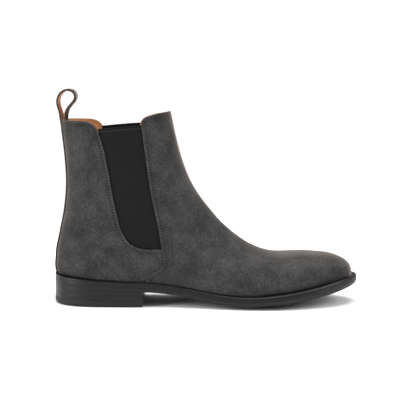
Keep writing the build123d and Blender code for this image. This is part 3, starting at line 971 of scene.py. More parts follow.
def woven_cloth(name, colour, threads, gloss=0.3):
    """Plain woven cloth, also for thread and for the shadow in a needle hole."""
    material, nodes, links = new_material(name)
    place = nodes.new("ShaderNodeTexCoord")
    place.label = "Place on the boot"
    warp = nodes.new("ShaderNodeTexWave")
    warp.label = "Warp"
    warp.bands_direction = "X"
    warp.inputs["Scale"].default_value = threads
    warp.inputs["Distortion"].default_value = 0.6
    weft = nodes.new("ShaderNodeTexWave")
    weft.label = "Weft"
    weft.bands_direction = "Z"
    weft.inputs["Scale"].default_value = threads
    weft.inputs["Distortion"].default_value = 0.6
    crossing = nodes.new("ShaderNodeMath")
    crossing.label = "Threads crossing"
    crossing.operation = "MULTIPLY"
    tone = nodes.new("ShaderNodeValToRGB")
    tone.label = "Dark between threads"
    tone.color_ramp.elements[0].color = [c * 0.6 for c in colour] + [1]
    tone.color_ramp.elements[1].position = 0.7
    tone.color_ramp.elements[1].color = [c * 1.15 for c in colour] + [1]
    bump = nodes.new("ShaderNodeBump")
    bump.label = "Thread relief"
    bump.inputs["Strength"].default_value = 0.5
    bump.inputs["Distance"].default_value = 0.0002
    cloth = nodes.new("ShaderNodeBsdfPrincipled")
    cloth.label = "Cloth"
    cloth.inputs["Roughness"].default_value = 0.85
    cloth.inputs["Specular IOR Level"].default_value = gloss
    output = nodes.new("ShaderNodeOutputMaterial")
    output.label = "Cloth surface"
    links.new(place.outputs["Object"], warp.inputs["Vector"])
    links.new(place.outputs["Object"], weft.inputs["Vector"])
    links.new(warp.outputs["Fac"], crossing.inputs[0])
    links.new(weft.outputs["Fac"], crossing.inputs[1])
    links.new(crossing.outputs["Value"], tone.inputs["Fac"])
    links.new(tone.outputs["Color"], cloth.inputs["Base Color"])
    links.new(crossing.outputs["Value"], bump.inputs["Height"])
    links.new(bump.outputs["Normal"], cloth.inputs["Normal"])
    links.new(cloth.outputs["BSDF"], output.inputs["Surface"])
    arrange(nodes, [("Weave", (place, warp, weft, crossing, tone)), ("Relief", (bump,)),
                    ("Surface", (cloth, output))])
    return material


def speckled(name, dark, light, scale, roughness):
    """Cork, foam and rubber: specks of two tones with a pitted face."""
    material, nodes, links = new_material(name)
    place = nodes.new("ShaderNodeTexCoord")
    place.label = "Place on the boot"
    specks = nodes.new("ShaderNodeTexVoronoi")
    specks.label = "Granules"
    specks.inputs["Scale"].default_value = scale
    tone = nodes.new("ShaderNodeValToRGB")
    tone.label = "Granule tones"
    tone.color_ramp.elements[0].color = (*dark, 1)
    tone.color_ramp.elements[1].color = (*light, 1)
    dust = nodes.new("ShaderNodeTexNoise")
    dust.label = "Fine pits"
    dust.inputs["Scale"].default_value = scale * 3
    dust.inputs["Detail"].default_value = 4
    rub = nodes.new("ShaderNodeMapRange")
    rub.label = "Duller in the pits"
    rub.inputs["To Min"].default_value = roughness - 0.08
    rub.inputs["To Max"].default_value = roughness + 0.08
    bump = nodes.new("ShaderNodeBump")
    bump.label = "Pitted relief"
    bump.inputs["Strength"].default_value = 0.35
    bump.inputs["Distance"].default_value = 0.0002
    body = nodes.new("ShaderNodeBsdfPrincipled")
    body.label = "Granular body"
    body.inputs["Specular IOR Level"].default_value = 0.28
    output = nodes.new("ShaderNodeOutputMaterial")
    output.label = "Granular surface"
    links.new(place.outputs["Object"], specks.inputs["Vector"])
    links.new(place.outputs["Object"], dust.inputs["Vector"])
    links.new(specks.outputs["Color"], tone.inputs["Fac"])
    links.new(tone.outputs["Color"], body.inputs["Base Color"])
    links.new(dust.outputs["Fac"], rub.inputs["Value"])
    links.new(rub.outputs["Result"], body.inputs["Roughness"])
    links.new(dust.outputs["Fac"], bump.inputs["Height"])
    links.new(bump.outputs["Normal"], body.inputs["Normal"])
    links.new(body.outputs["BSDF"], output.inputs["Surface"])
    arrange(nodes, [("Granules", (place, specks, tone)), ("Pits", (dust, rub, bump)),
                    ("Surface", (body, output))])
    return material


def metal(name, colour, roughness):
    """Drawn metal: fine scratches and a little tarnish."""
    material, nodes, links = new_material(name)
    place = nodes.new("ShaderNodeTexCoord")
    place.label = "Place on the boot"
    tarnish = nodes.new("ShaderNodeTexNoise")
    tarnish.label = "Tarnish"
    tarnish.inputs["Scale"].default_value = 260
    tarnish.inputs["Detail"].default_value = 4
    tone = nodes.new("ShaderNodeValToRGB")
    tone.label = "Bright and tarnished"
    tone.color_ramp.elements[0].position = 0.35
    tone.color_ramp.elements[0].color = [c * 0.6 for c in colour] + [1]
    tone.color_ramp.elements[1].position = 0.6
    tone.color_ramp.elements[1].color = [*colour, 1]
    rub = nodes.new("ShaderNodeMapRange")
    rub.label = "Rubbed face"
    rub.inputs["To Min"].default_value = roughness - 0.1
    rub.inputs["To Max"].default_value = roughness + 0.15
    bump = nodes.new("ShaderNodeBump")
    bump.label = "Scratches"
    bump.inputs["Strength"].default_value = 0.15
    bump.inputs["Distance"].default_value = 0.0001
    body = nodes.new("ShaderNodeBsdfPrincipled")
    body.label = "Metal"
    body.inputs["Metallic"].default_value = 1
    output = nodes.new("ShaderNodeOutputMaterial")
    output.label = "Metal surface"
    links.new(place.outputs["Object"], tarnish.inputs["Vector"])
    links.new(tarnish.outputs["Fac"], tone.inputs["Fac"])
    links.new(tone.outputs["Color"], body.inputs["Base Color"])
    links.new(tarnish.outputs["Fac"], rub.inputs["Value"])
    links.new(rub.outputs["Result"], body.inputs["Roughness"])
    links.new(tarnish.outputs["Fac"], bump.inputs["Height"])
    links.new(bump.outputs["Normal"], body.inputs["Normal"])
    links.new(body.outputs["BSDF"], output.inputs["Surface"])
    arrange(nodes, [("Tarnish", (place, tarnish, tone, rub)), ("Scratches", (bump,)),
                    ("Surface", (body, output))])
    return material


FINISHES = {}


def finish(name):
    """The finish of that name, made once."""
    look = bpy.context.scene.boot_finish
    if name not in FINISHES:
        makers = {
            "suede": lambda: suede(name, look.suede_colour, look.suede_sheen),
            "gore_elastic": lambda: elastic(name, look.elastic_colour),
            "lining": lambda: leather(name, look.lining_colour, 0.55, 700, 0.35, 0.2),
            "loop_lining": lambda: leather(name, look.loop_lining_colour, 0.55, 700, 0.35, 0.2,
                                           dyed_edge=True),
            "footbed": lambda: leather(name, look.footbed_colour, 0.50, 600, 0.35),
            "black_edge": lambda: edge_wax(name, look.edge_colour, look.edge_roughness),
            "black_sole": lambda: leather(name, look.sole_colour, 0.42, 420, 0.3, 0.26),
            "heel_rubber": lambda: speckled(name, (0.006,) * 3, (0.011,) * 3, 900, 0.5),
            "insole_leather": lambda: leather(name, (0.45, 0.28, 0.16), 0.6, 500, 0.4),
            "cork": lambda: speckled(name, (0.16, 0.08, 0.035), (0.42, 0.25, 0.12), 420, 0.8),
            "foam": lambda: speckled(name, (0.42, 0.40, 0.34), (0.62, 0.60, 0.52), 900, 0.85),
            "stiffener": lambda: woven_cloth(name, (0.42, 0.36, 0.27), 260),
            "backer": lambda: woven_cloth(name, (0.55, 0.52, 0.46), 380),
            "thread": lambda: woven_cloth(name, look.thread_colour, 900),
            "needle_shadow": lambda: woven_cloth(name, (0.009,) * 3, 900, 0.0),
            "steel": lambda: metal(name, (0.55, 0.55, 0.57), 0.35),
            "brass": lambda: metal(name, (0.72, 0.50, 0.20), 0.35),
        }
        FINISHES[name] = makers[name]()
    return FINISHES[name]


def colour_prop(name, description, default):
    return FloatVectorProperty(name=name, description=description, default=default, size=3,
                               min=0.0, max=1.0, subtype="COLOR")


class BootFinish(bpy.types.PropertyGroup):
    """Colours and gloss of the boot."""
    suede_colour: colour_prop("Suede", "Colour of the suede", (0.0325, 0.0328, 0.0328))
    suede_sheen: FloatProperty(name="Suede sheen", description="How dusty the nap looks at its rim",
                               default=0.46, min=0, max=1, subtype="FACTOR")
    elastic_colour: colour_prop("Elastic", "Colour of the gores", (0.0085, 0.0085, 0.0088))
    lining_colour: colour_prop("Lining", "Colour of the tan lining", (0.40, 0.168, 0.060))
    loop_lining_colour: colour_prop("Loop lining", "Colour inside the pull loop",
                                    (0.62, 0.30, 0.16))
    footbed_colour: colour_prop("Footbed", "Colour of the sock lining", (0.40, 0.20, 0.085))
    edge_colour: colour_prop("Edge ink", "Colour of the welt and heel edges",
                             (0.0050, 0.0050, 0.0050))
    edge_roughness: FloatProperty(name="Edge roughness", description="How matt the waxed edges are",
                                  default=0.36, min=0.1, max=0.9, subtype="FACTOR")
    sole_colour: colour_prop("Sole", "Colour of the sole's tread", (0.0060, 0.0060, 0.0060))
    thread_colour: colour_prop("Thread", "Colour of the stitching", (0.055, 0.052, 0.050))


class BootSizes(bpy.types.PropertyGroup):
    """Sizes that a maker would change."""
    stitch_pitch: FloatProperty(name="Stitch pitch", description="Distance from stitch to stitch",
                                default=2.9 * MM, min=1.5 * MM, max=6 * MM, unit="LENGTH")
    stitch_margin: FloatProperty(name="Stitch margin",
                                 description="Stitch line's distance from the edge",
                                 default=2.5 * MM, min=1 * MM, max=6 * MM, unit="LENGTH")
    rib_pitch: FloatProperty(name="Rib pitch", description="Distance between the elastic's cords",
                             default=1.1 * MM, min=0.6 * MM, max=3 * MM, unit="LENGTH")
    rib_depth: FloatProperty(name="Rib depth", description="Depth between the elastic's cords",
                             default=0.16 * MM, min=0, max=0.5 * MM, unit="LENGTH")
    seam_lift: FloatProperty(name="Seam lift",
                             description="How far the front stands over the side seam",
                             default=0.5 * MM, min=0, max=1.0 * MM, unit="LENGTH")
    edge_round: FloatProperty(name="Edge rounding",
                              description="Rounding of the welt's and sole's edges",
                              default=1.1 * MM, min=0.2 * MM, max=2 * MM, unit="LENGTH")


# ---- insets of the two suede panels at the side seam --------------------------------
SEAM_LINE = smooth_line(SIDE_SEAM)
SEAM_TREE = KDTree(len(SEAM_LINE))
for index, (seam_x, seam_z) in enumerate(SEAM_LINE):
    SEAM_TREE.insert((seam_x, 0, seam_z), index)
SEAM_TREE.balance()


def seam_distance(p):
    return SEAM_TREE.find((p.x, 0, p.z))[2]


def vamp_inset(p, lift):
    """The front stands a little proud along the side seam."""
    return -lift * math.exp(-(seam_distance(p) / 6) ** 2)


def quarter_inset(p):
    """The back panel dips under the front at the side seam."""
    return 1.05 * ease((12 - seam_distance(p)) / 9) * ease((58 - p.z) / 6)


def lining_inset(p, line):
    """The lining comes up against the suede at the collar."""
    return MIDDLE_INSET + (LINING_INSET - MIDDLE_INSET) * ease((along(line, p.x) - p.z) / 12)


def laid(net, inset):
    """Points of a net, each at the inset that the rule gives for its place."""
    return [[form_point(r, d, inset(form_point(r, d))) for r, d in across] for across in net]


def upper_edges(points, *columns):
    """Collar and side edges of a panel, as far down as the welt."""
    lines = [points[0]]
    for column in columns:
        lines.append([row[column] for row in points if row[column].z > seat(row[column].x) + 1])
    return lines


class BOOT_OT_vamp(bpy.types.Operator):
    """Front of the upper: one skin of suede from the collar to the toe"""
    bl_idname = "boot.vamp"
    bl_label = "Front"

    def execute(self, context):
        lift = context.scene.boot_sizes.seam_lift / MM
        points = laid(vamp_net(130, 180), lambda p: vamp_inset(p, lift))
        piece = sheet_piece("vamp_suede", points, upper_edges(points, 0, -1), SUEDE_THICK, 0.35)
        dress(piece, finish("suede"), "boot", ["vamp"])
        points = laid(vamp_net(80, 110), lambda p: lining_inset(p, FRONT_TOP_LINE))
        piece = sheet_piece("vamp_inner_lining", points, upper_edges(points, 0, -1), 1.0, 0.2)
        dress(piece, finish("lining"), "boot", ["vamp_lining"])
        return {"FINISHED"}


class BOOT_OT_quarters(bpy.types.Operator):
    """Both back panels of the upper with their linings"""
    bl_idname = "boot.quarters"
    bl_label = "Back panels"

    def execute(self, context):
        for name, side in SIDES.items():
            points = laid(quarter_net(side, 90, 130), quarter_inset)
            edges = [points[0], [row[-1] for row in points]]
            piece = sheet_piece(f"{name}_quarter_suede", points, edges, SUEDE_THICK, 0.35)
            dress(piece, finish("suede"), "boot", [f"{name}_quarter"])
            points = laid(quarter_net(side, 50, 80, drop=0.7),
                          lambda p: lining_inset(p, QUARTER_TOP_LINE))
            piece = sheet_piece(f"{name}_quarter_inner_lining", points, edges, 1.0, 0.2)
            dress(piece, finish("lining"), "boot", [f"{name}_quarter_lining"])
        return {"FINISHED"}


class BOOT_OT_gores(bpy.types.Operator):
    """Ribbed elastic in both sides of the ankle"""
    bl_idname = "boot.gores"
    bl_label = "Elastic gores"

    def execute(self, context):
        sizes = context.scene.boot_sizes
        pitch, depth = sizes.rib_pitch / MM, sizes.rib_depth / MM
        top, foot = Vector((24, 177)), Vector((55, 57))
        run = (foot - top).normalized()
        for name, side in SIDES.items():
            ribs = []

            def inset(p):
                across = (p.x - top.x) * -run.y + (p.z - top.y) * run.x
                rib = 0.5 + 0.5 * math.cos(2 * math.pi * across / pitch)
                below = along(GORE_TOP, p.x) - p.z
                band = ease(1 - abs(below - 3.2) / 0.8)
                rib *= 1 - 0.8 * ease(1 - below / 2.8)
                ribs.append(rib)
                return MIDDLE_INSET + depth * (1 - rib) + 0.25 * band + 0.5 * ease((70 - p.z) / 10)
            points = laid(gore_net(side, 200, 110), inset)
            piece = flat_grid(f"{name}_gore_elastic", points)
            middle = points[55][100]
            outward(piece, Vector((middle.x, 0, middle.z)) * MM)
            note_edges(piece, [points[0]])
            note(piece, "rib", ribs)
            wall_in(piece, 1.1)
            dress(piece, finish("gore_elastic"), "boot", [f"{name}_gore"], smooth=60)
        return {"FINISHED"}


class BOOT_OT_back_strap(bpy.types.Operator):
    """Narrow suede strip over the back seam"""
    bl_idname = "boot.back_strap"
    bl_label = "Back strap"

    def execute(self, context):
        points, rows = [], 90
        for j in range(rows + 1):
            row = STRAP_ROWS[0] + (STRAP_ROWS[1] - STRAP_ROWS[0]) * j / rows
            edge = bisect(lambda d: form_point(row, d).y + STRAP_HALF, 120, 180)
            across = []
            for i in range(17):
                part = (i - 8) / 8
                degrees = math.copysign(180 - (180 - edge) * abs(part), part)
                across.append(form_point(row, degrees, -1.12 - 0.1 * (1 - part * part)))
            points.append(across)
        edges = [[row[0] for row in points], [row[-1] for row in points]]
        piece = sheet_piece("back_strap_suede", points, edges, 1.1, 0.3)
        dress(piece, finish("suede"), "boot", ["back_strap"])
        return {"FINISHED"}


def loop_bow(y, z):
    """How far the loop's sides lie ahead of its middle, to follow the round back of the collar."""
    wide, full, deep = 34, 2.1, 54.6
    return deep * (1 - (1 - (abs(y) / wide) ** full) ** (1 / full)) * ease((200 - z) / 16)


class BOOT_OT_pull_loop(bpy.types.Operator):
    """Pull loop: suede outside, tan leather inside, sewn in at the collar"""
    bl_idname = "boot.pull_loop"
    bl_label = "Pull loop"

    def execute(self, context):
        path = evenly(smooth_line(LOOP_LINE, 10), shares(110), lambda x, z: Vector((x, z)))
        layers = (("pull_loop_strap", 1.05, 1.03, "suede", "suede", ["pull_loop", "pull_loop_bend"]),
                  ("pull_loop_inner_face", -0.02, 1.0, "loop_lining", "lining_leather",
                   ["pull_loop_lining", "pull_loop_tail"]))
        for name, offset, thickness, look, slot, nodes in layers:
            points = []
            for k, (x, z) in enumerate(path):
                a, b = path[max(k - 1, 0)], path[min(k + 1, len(path) - 1)]
                run = math.dist(a, b)
                nx, nz = -(b[1] - a[1]) / run, (b[0] - a[0]) / run
                across = []
                for i in range(15):
                    y = (i - 7) / 7 * LOOP_HALF
                    across.append(Vector((x + nx * offset + loop_bow(y, z), y, z + nz * offset)))
                points.append(across)
            piece = flat_grid(name, points)
            face = piece.data.polygons[14 * 50]
            if face.normal.z < 0:
                edit(piece, (bpy.ops.mesh.flip_normals, {}))
            note_edges(piece, [[row[0] for row in points], [row[-1] for row in points]])
            # Held high above the welt, so the loop gets no painted crease shade.
            note(piece, "foot_mm", [20.0] * len(piece.data.vertices))
            wall_in(piece, thickness, 0.35)
            dress(piece, finish(look), None, nodes)
            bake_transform(piece)
        return {"FINISHED"}


def fullness(x):
    """How round the sole's edge is: nearly square at the heel, full at the toe."""
    return 0.35 + 0.65 * ease((x - 30) / 110)


def under_round(x):
    """How round the outsole's lower edge is: nearly square over the heel, full ahead of it."""
    return 0.04 + 0.96 * ease((x - HEEL_BREAST) / 60)


def edge_points(inset, roundness=fullness):
    """The outline moved in by inset, less where the edge is squarer."""
    rim, inner = closed_outline(0, RIM_POINTS), closed_outline(1, RIM_POINTS)
    points = []
    for (x, y), (ix, iy) in zip(rim, inner):
        share = inset * (roundness(x) if roundness else 1)
        points.append((x + (ix - x) * share, y + (iy - y) * share))
    return points


class BOOT_OT_welt(bpy.types.Operator):
    """Welt round the forepart and rand round the heel seat"""
    bl_idname = "boot.welt"
    bl_label = "Welt and rand"

    def execute(self, context):
        soft = context.scene.boot_sizes.edge_round / MM
        profile = [(1.9, 0), (1.05, -0.18), (0.55, -0.6), (0.25, -1.3), (0.08, -2.3)]
        deep = WELT_WIDTH - 0.1
        top = [(edge_points(d, None), 0, 0) for d in (deep, 5)]
        side = [(edge_points(d * soft), z * soft, fullness) for d, z in profile]
        low = [(edge_points(0.03), -WELT_THICK, 0), (edge_points(3, None), -WELT_THICK, 0),
               (edge_points(deep, None), -WELT_THICK, 0)]
        rim = closed_outline(0, RIM_POINTS)
        ahead = [k for k in range(RIM_POINTS) if rim[k][0] >= RAND_END]
        behind = [*range(ahead[-1], RIM_POINTS), *range(ahead[0] + 1)]
        for name, keys, nodes in (("welt_leather", ahead, ["welt"]),
                                  ("heel_rand_leather", behind, ["heel_rand"])):
            rings = []
            for k in keys:
                ring = []
                for line, rise, share in top + side + low:
                    (x, y), full = line[k], share(line[k][0]) if share else 1
                    ring.append((x, y, seat(x) + rise * full))
                rings.append(ring)
            dress(rings_piece(name, rings), finish("black_edge"), "boot", nodes, 60)
        return {"FINISHED"}


def tread(x, y):
    """Height of the outsole's lower face."""
    flat = seat(x) - WELT_THICK - OUTSOLE_THICK
    bulge, wide = along(CROWN, x), along(CROWN, x, 2)
    crowned = along(TREAD_LINE, x) - bulge + bulge * (y / wide) ** 2
    return flat + (crowned - flat) * ease((x - HEEL_BREAST) / 8)


class BOOT_OT_outsole(bpy.types.Operator):
    """Leather outsole with a crowned tread and a softened edge"""
    bl_idname = "boot.outsole"
    bl_label = "Outsole"

    def execute(self, context):
        soft = context.scene.boot_sizes.edge_round / MM
        rim = closed_outline(0, RIM_POINTS)
        top = lambda x, y: seat(x) - WELT_THICK
        steps = [(shrunk(rim, 0.12), top, 0), (shrunk(rim, 0.6), top, 0),
                 (edge_points(0.12), top, 0), (edge_points(0.03), top, -0.06), (rim, top, -1.4)]
        for inset, rise in ((0.22, 1.9), (0.7, 0.8), (1.3, 0.25), (2.2, 0)):
            steps.append((edge_points(inset * soft, under_round), tread, rise * soft))
        steps += [(shrunk(rim, share), tread, 0) for share in (0.8, 0.55, 0.3, 0.12)]
        rings = [[(x, y, rule(x, y) + rise) for x, y in line] for line, rule, rise in steps]
        dress(rings_piece("outsole_leather", rings), finish("black_sole"), "boot",
              ["outsole"], 60)
        return {"FINISHED"}


def heel_plan(inset):
    """The heel's plan: the back of the outline closed by a slightly hollow breast."""
    rim = closed_outline(inset, RIM_POINTS)
    ahead = [k for k in range(RIM_POINTS) if rim[k][0] > HEEL_BREAST]
    back = rim[ahead[-1] + 1:] + rim[:ahead[0]]
    (_, inner), (_, outer) = back[0], back[-1]
    breast = []
    for k in range(25):
        y = outer + (inner - outer) * k / 24
        hollow = BREAST_RADIUS - 1.5 - math.sqrt(BREAST_RADIUS**2 - y * y)
        breast.append((min(HEEL_BREAST, HEEL_BREAST + hollow), y))
    return back + breast


def heel_layer(name, inset, low, high, lower_round, upper_round):
    """One layer of the heel between two heights, high a rule of x."""
    corner_round = 2.8
    plan = heel_plan(inset)
    corners = (len(plan) - 26, len(plan) - 1)
    bpy.ops.object.select_all(action="DESELECT")
    bpy.ops.mesh.primitive_circle_add(vertices=len(plan), radius=0.04, fill_type="NGON",
                                      location=(0, 0, low * MM))
    piece = bpy.context.object
    piece.name = name
    bpy.ops.object.transform_apply(location=True, rotation=True, scale=True)
    for vertex, (x, y) in zip(piece.data.vertices, plan):
        vertex.co.x, vertex.co.y = x * MM, y * MM
    edit(piece, (bpy.ops.mesh.extrude_region_move,
                 {"TRANSFORM_OT_translate": {"value": (0, 0, 5 * MM)}}),
         (bpy.ops.mesh.select_all, {"action": "SELECT"}),
         (bpy.ops.mesh.normals_make_consistent, {"inside": False}))
    for vertex in piece.data.vertices:
        if vertex.co.z > (low + 2) * MM:
            vertex.co.z = high(vertex.co.x / MM) * MM
    weights = piece.data.attributes.new("bevel_weight_edge", "FLOAT", "EDGE")
    places = [Vector((*plan[k], 0)) for k in corners]
    for edge in piece.data.edges:
        a, b = (piece.data.vertices[v].co / MM for v in edge.vertices)
        upright = abs(a.z - b.z) > 2
        if upright and min((Vector((a.x, a.y, 0)) - p).length for p in places) < 0.1:
            weights.data[edge.index].value = 1
        elif not upright:
            flat_round = lower_round if a.z < low + 0.01 else upper_round
            weights.data[edge.index].value = flat_round / corner_round
    modify(piece, "BEVEL", width=corner_round * MM, segments=4, limit_method="WEIGHT",
           use_clamp_overlap=False)
    return piece


def heel_edge_places(inset, count):
    """Places of nails along the heel's edge, open at the breast."""
    places = []
    for k in range(count):
        angle = math.radians(-100 + 200 * k / (count - 1))
        places.append((8 - (50 - inset) * math.cos(angle), -(35 - inset) * math.sin(angle)))
    return places


class BOOT_OT_heel(bpy.types.Operator):
    """Stacked heel: wedge, lift and rubber top lift with its nails"""
    bl_idname = "boot.heel"
    bl_label = "Heel"

    def execute(self, context):
        under = lambda x: seat(x) - WELT_THICK - OUTSOLE_THICK - 0.03
        piece = heel_layer("heel_wedge_leather", 0.05, LIFT_TOP + 0.03, under, 0.05, 0.05)
        dress(piece, finish("black_edge"), "boot", ["heel_wedge"], 40)
        piece = heel_layer("heel_lift_leather", 0.05, TOP_LIFT_TOP + 0.03, lambda x: LIFT_TOP,
                           0.05, 0.05)
        dress(piece, finish("black_edge"), "boot", ["heel_lift"], 40)
        piece = heel_layer("top_lift_rubber", -0.25, 0.06, lambda x: TOP_LIFT_TOP, 2.6, 0.2)
        dress(piece, finish("heel_rubber"), "boot", ["top_lift"], 40)
        bpy.ops.object.select_all(action="DESELECT")
        nails = []
        for x, y in heel_edge_places(7, 9):
            bpy.ops.mesh.primitive_cylinder_add(vertices=14, radius=0.7 * MM, depth=1.6 * MM,
                                                location=(x * MM, y * MM, 0.8 * MM))
            nails.append(bpy.context.object)
            modify(nails[-1], "BEVEL", width=0.12 * MM, segments=2)
        heads = join_all(nails, "top_lift_nail_heads")
        bpy.ops.object.transform_apply(location=True, rotation=True, scale=True)
        dress(heads, finish("brass"), "boot", ["top_lift_nails"])
        return {"FINISHED"}


class BOOT_OT_footbed(bpy.types.Operator):
    """Sock lining and the foam pad under its heel"""
    bl_idname = "boot.footbed"
    bl_label = "Footbed"

    def execute(self, context):
        def pad_top(x):
            return max(along(PAD_TOP, x), seat(x) + 1.6)

        def sock(x):
            return pad_top(x) + 0.12
        rim = closed_outline(WELT_WIDTH - 0.2, PAD_POINTS)
        sock_rim = closed_outline(WELT_WIDTH + 0.15, PAD_POINTS)
        steps = [(shrunk(rim, 0.15), 0), (shrunk(rim, 0.6), 0), (sock_rim, 0), (rim, 0.25),
                 (rim, 0.75), (sock_rim, 1.0)]
        steps += [(shrunk(rim, share), 1.0) for share in (0.9, 0.6, 0.35, 0.15)]
        rings = [[(x, y, sock(x) + rise) for x, y in line] for line, rise in steps]
        dress(rings_piece("sock_lining_leather", rings), finish("footbed"), "boot",
              ["sock_lining"], 50)
        plan = [(x, y) for x, y in closed_outline(WELT_WIDTH + 0.5, PAD_POINTS) if x < 45]
        ring = [p for p in plan if p[1] > 0] + [p for p in plan if p[1] <= 0]
        steps = [(shrunk(ring, share, 0, 30), rise)
                 for share, rise in ((0.2, 0), (0.97, 0), (1, 0.2), (1, 0.6), (0.96, 0.92),
                                     (0.85, 1.0), (0.55, 1.0), (0.2, 1.0))]
        rings = []
        for line, share in steps:
            rings.append([(x, y, seat(x) + 1.55 + share * max(pad_top(x) - seat(x) - 1.55, 0.05))
                          for x, y in line])
        pad = dress(rings_piece("heel_pad_foam", rings), finish("foam"), "boot",
                    ["heel_pad"], 50)
        return {"FINISHED"}


def joined(name, template, marks, material, replaced):
    """Copies of one small shape at marks of (place, along, out), joined in one piece."""
    copies = []
    for place, run, out in marks:
        run = (run - out * run.dot(out)).normalized()
        turn = Matrix((run, out.cross(run), out)).transposed().to_4x4()
        mesh = template.data.copy()
        mesh.transform(Matrix.Translation(place * MM) @ turn)
        copy = bpy.data.objects.new(name, mesh)
        bpy.context.scene.collection.objects.link(copy)
        copies.append(copy)
    return dress(join_all(copies, name), material, "boot", replaced, 80)


def small_bead(name, length, width, height):
    """Low-sided rounded bead, lying along X."""
    bpy.ops.object.select_all(action="DESELECT")
    bpy.ops.mesh.primitive_uv_sphere_add(segments=6, ring_count=4, radius=0.5)
    bead = bpy.context.object
    bead.name = name
    centre = {"center_override": (0, 0, 0)}
    edit(bead, (bpy.ops.transform.rotate, {"value": math.pi / 2, "orient_axis": "Y", **centre}),
         (bpy.ops.transform.resize, {"value": (length * MM, width * MM, height * MM), **centre}))
    return bead


def form_marks(line, side, pitch, inset):
    """Even marks on the upper along a side-view line; inset is a rule of the place."""
    path = [on_form(x, z) for x, z in line]
    place = lambda row, degrees: form_point(row, side * degrees)
    length = sum((place(*a) - place(*b)).length for a, b in zip(path, path[1:]))
    count = max(2, round(length / pitch))
    even = evenly(path, shares(count), place)
    marks = []
    for k, (row, degrees) in enumerate(even):
        p = form_point(row, side * degrees, inset(place(row, degrees)))
        before, after = even[max(k - 1, 0)], even[min(k + 1, count)]
        marks.append((p, place(*after) - place(*before), form_normal(row, side * degrees)))
    return marks


def between(marks):
    """Marks half way between the given ones."""
    return [((a[0] + b[0]) / 2, b[0] - a[0], (a[2] + b[2]).normalized())
            for a, b in zip(marks, marks[1:])]


def strap_marks(side, pitch):
    """Marks down one edge of the back strap, from the collar to the heel rand."""
    marks, previous = [], None
    for k in range(56):
        z = STRAP_STITCH_TOP - k * pitch
        row = bisect(lambda r: form_point(r, 180).z - z, 1, 8)
        degrees = side * bisect(lambda d: form_point(row, d).y + STRAP_STITCH_HALF, 120, 180)
        p = form_point(row, degrees, -1.2)
        if p.z < seat(p.x) + 2:
            break
        run = p - previous if previous else Vector((0, 0, -1))
        marks.append((p, run, form_normal(row, degrees)))
        previous = p
    return marks


def welt_marks():
    """Marks on top of the welt, from the front of the heel rand round the toe."""
    rim, inside = closed_outline(1.75, WELT_STITCHES), closed_outline(3.0, WELT_STITCHES)
    marks = []
    for k, (x, y) in enumerate(rim):
        after = rim[(k + 1) % WELT_STITCHES]
        if x > RAND_END + 6:
            run = Vector((after[0] - x, after[1] - y, seat(after[0]) - seat(x)))
            side = Vector((inside[k][0] - x, inside[k][1] - y, 0))
            marks.append((Vector((x, y, seat(x) + 0.02)), run, run.cross(side).normalized()))
    return marks


class BOOT_OT_stitching(bpy.types.Operator):
    """Stitch rows along the collars, gores, side seams and back strap"""
    bl_idname = "boot.stitching"
    bl_label = "Stitching"

    def execute(self, context):
        sizes = context.scene.boot_sizes
        pitch, margin = sizes.stitch_pitch / MM, sizes.stitch_margin / MM
        lift = sizes.seam_lift / MM
        stitch = small_bead("stitch", 2.1, 0.7, 0.5)
        # Dark beads between the stitches are painted shade that stands in for the needle holes.
        hole = small_bead("needle_pit_shadow", 0.8, 2.3, 0.28)
        welt_bead = small_bead("welt_bead", 2.4, 0.9, 0.9)
        edge = smooth_line(QUARTER_TOP[1:] + GORE_BACK[1:] + GORE_FOOT[:-1], 6)
        back = beside(edge, margin)
        front = beside(smooth_line(GORE_FRONT[:-1] + SIDE_SEAM[:-1], 6), -margin)
        top = beside(smooth_line(FRONT_TOP[:-1], 6), margin)
        rows = {"quarter": (back[7:], quarter_inset),
                "vamp": (top[4:], lambda p: vamp_inset(p, lift)),
                "seam": (front[3:], lambda p: vamp_inset(p, lift))}
        for name, side in SIDES.items():
            for row, (line, inset) in rows.items():
                marks = form_marks(line, side, pitch, inset)
                joined(f"{name}_{row}_stitches", stitch, marks, finish("thread"),
                       [f"{name}_{row}_thread"])
                joined(f"{name}_{row}_needle_pit_shadows", hole, between(marks), finish("needle_shadow"),
                       [])
        right, left = strap_marks(1, pitch), strap_marks(-1, pitch)
        joined("back_strap_stitches", stitch, right + left, finish("thread"), [])
        # Painted shade of the needle holes along the back strap.
        joined("back_strap_needle_pit_shadows", hole, between(right) + between(left),
               finish("needle_shadow"), [])
        joined("welt_stitches", welt_bead, welt_marks(), finish("thread"),
               ["welt_thread"])
        for template in (stitch, hole, welt_bead):
            bpy.data.objects.remove(template)
        return {"FINISHED"}


class BOOT_OT_hidden_parts(bpy.types.Operator):
    """Finishes of the parts inside the boot that keep their CAD shape"""
    bl_idname = "boot.hidden_parts"
    bl_label = "Parts inside"

    def execute(self, context):
        looks = {"insole": "insole_leather", "insole_rib": "insole_leather", "shank": "steel",
                 "cork_filler": "cork", "heel_seat_filler": "cork", "toe_puff": "stiffener",
                 "heel_counter": "stiffener", "vamp_backer": "backer", "outer_quarter_backer": "backer",
                 "inner_quarter_backer": "backer", "heel_nails": "brass"}
        for node, look in looks.items():
            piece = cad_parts[node]
            piece.data.materials.clear()
            piece.data.materials.append(finish(look))
        return {"FINISHED"}


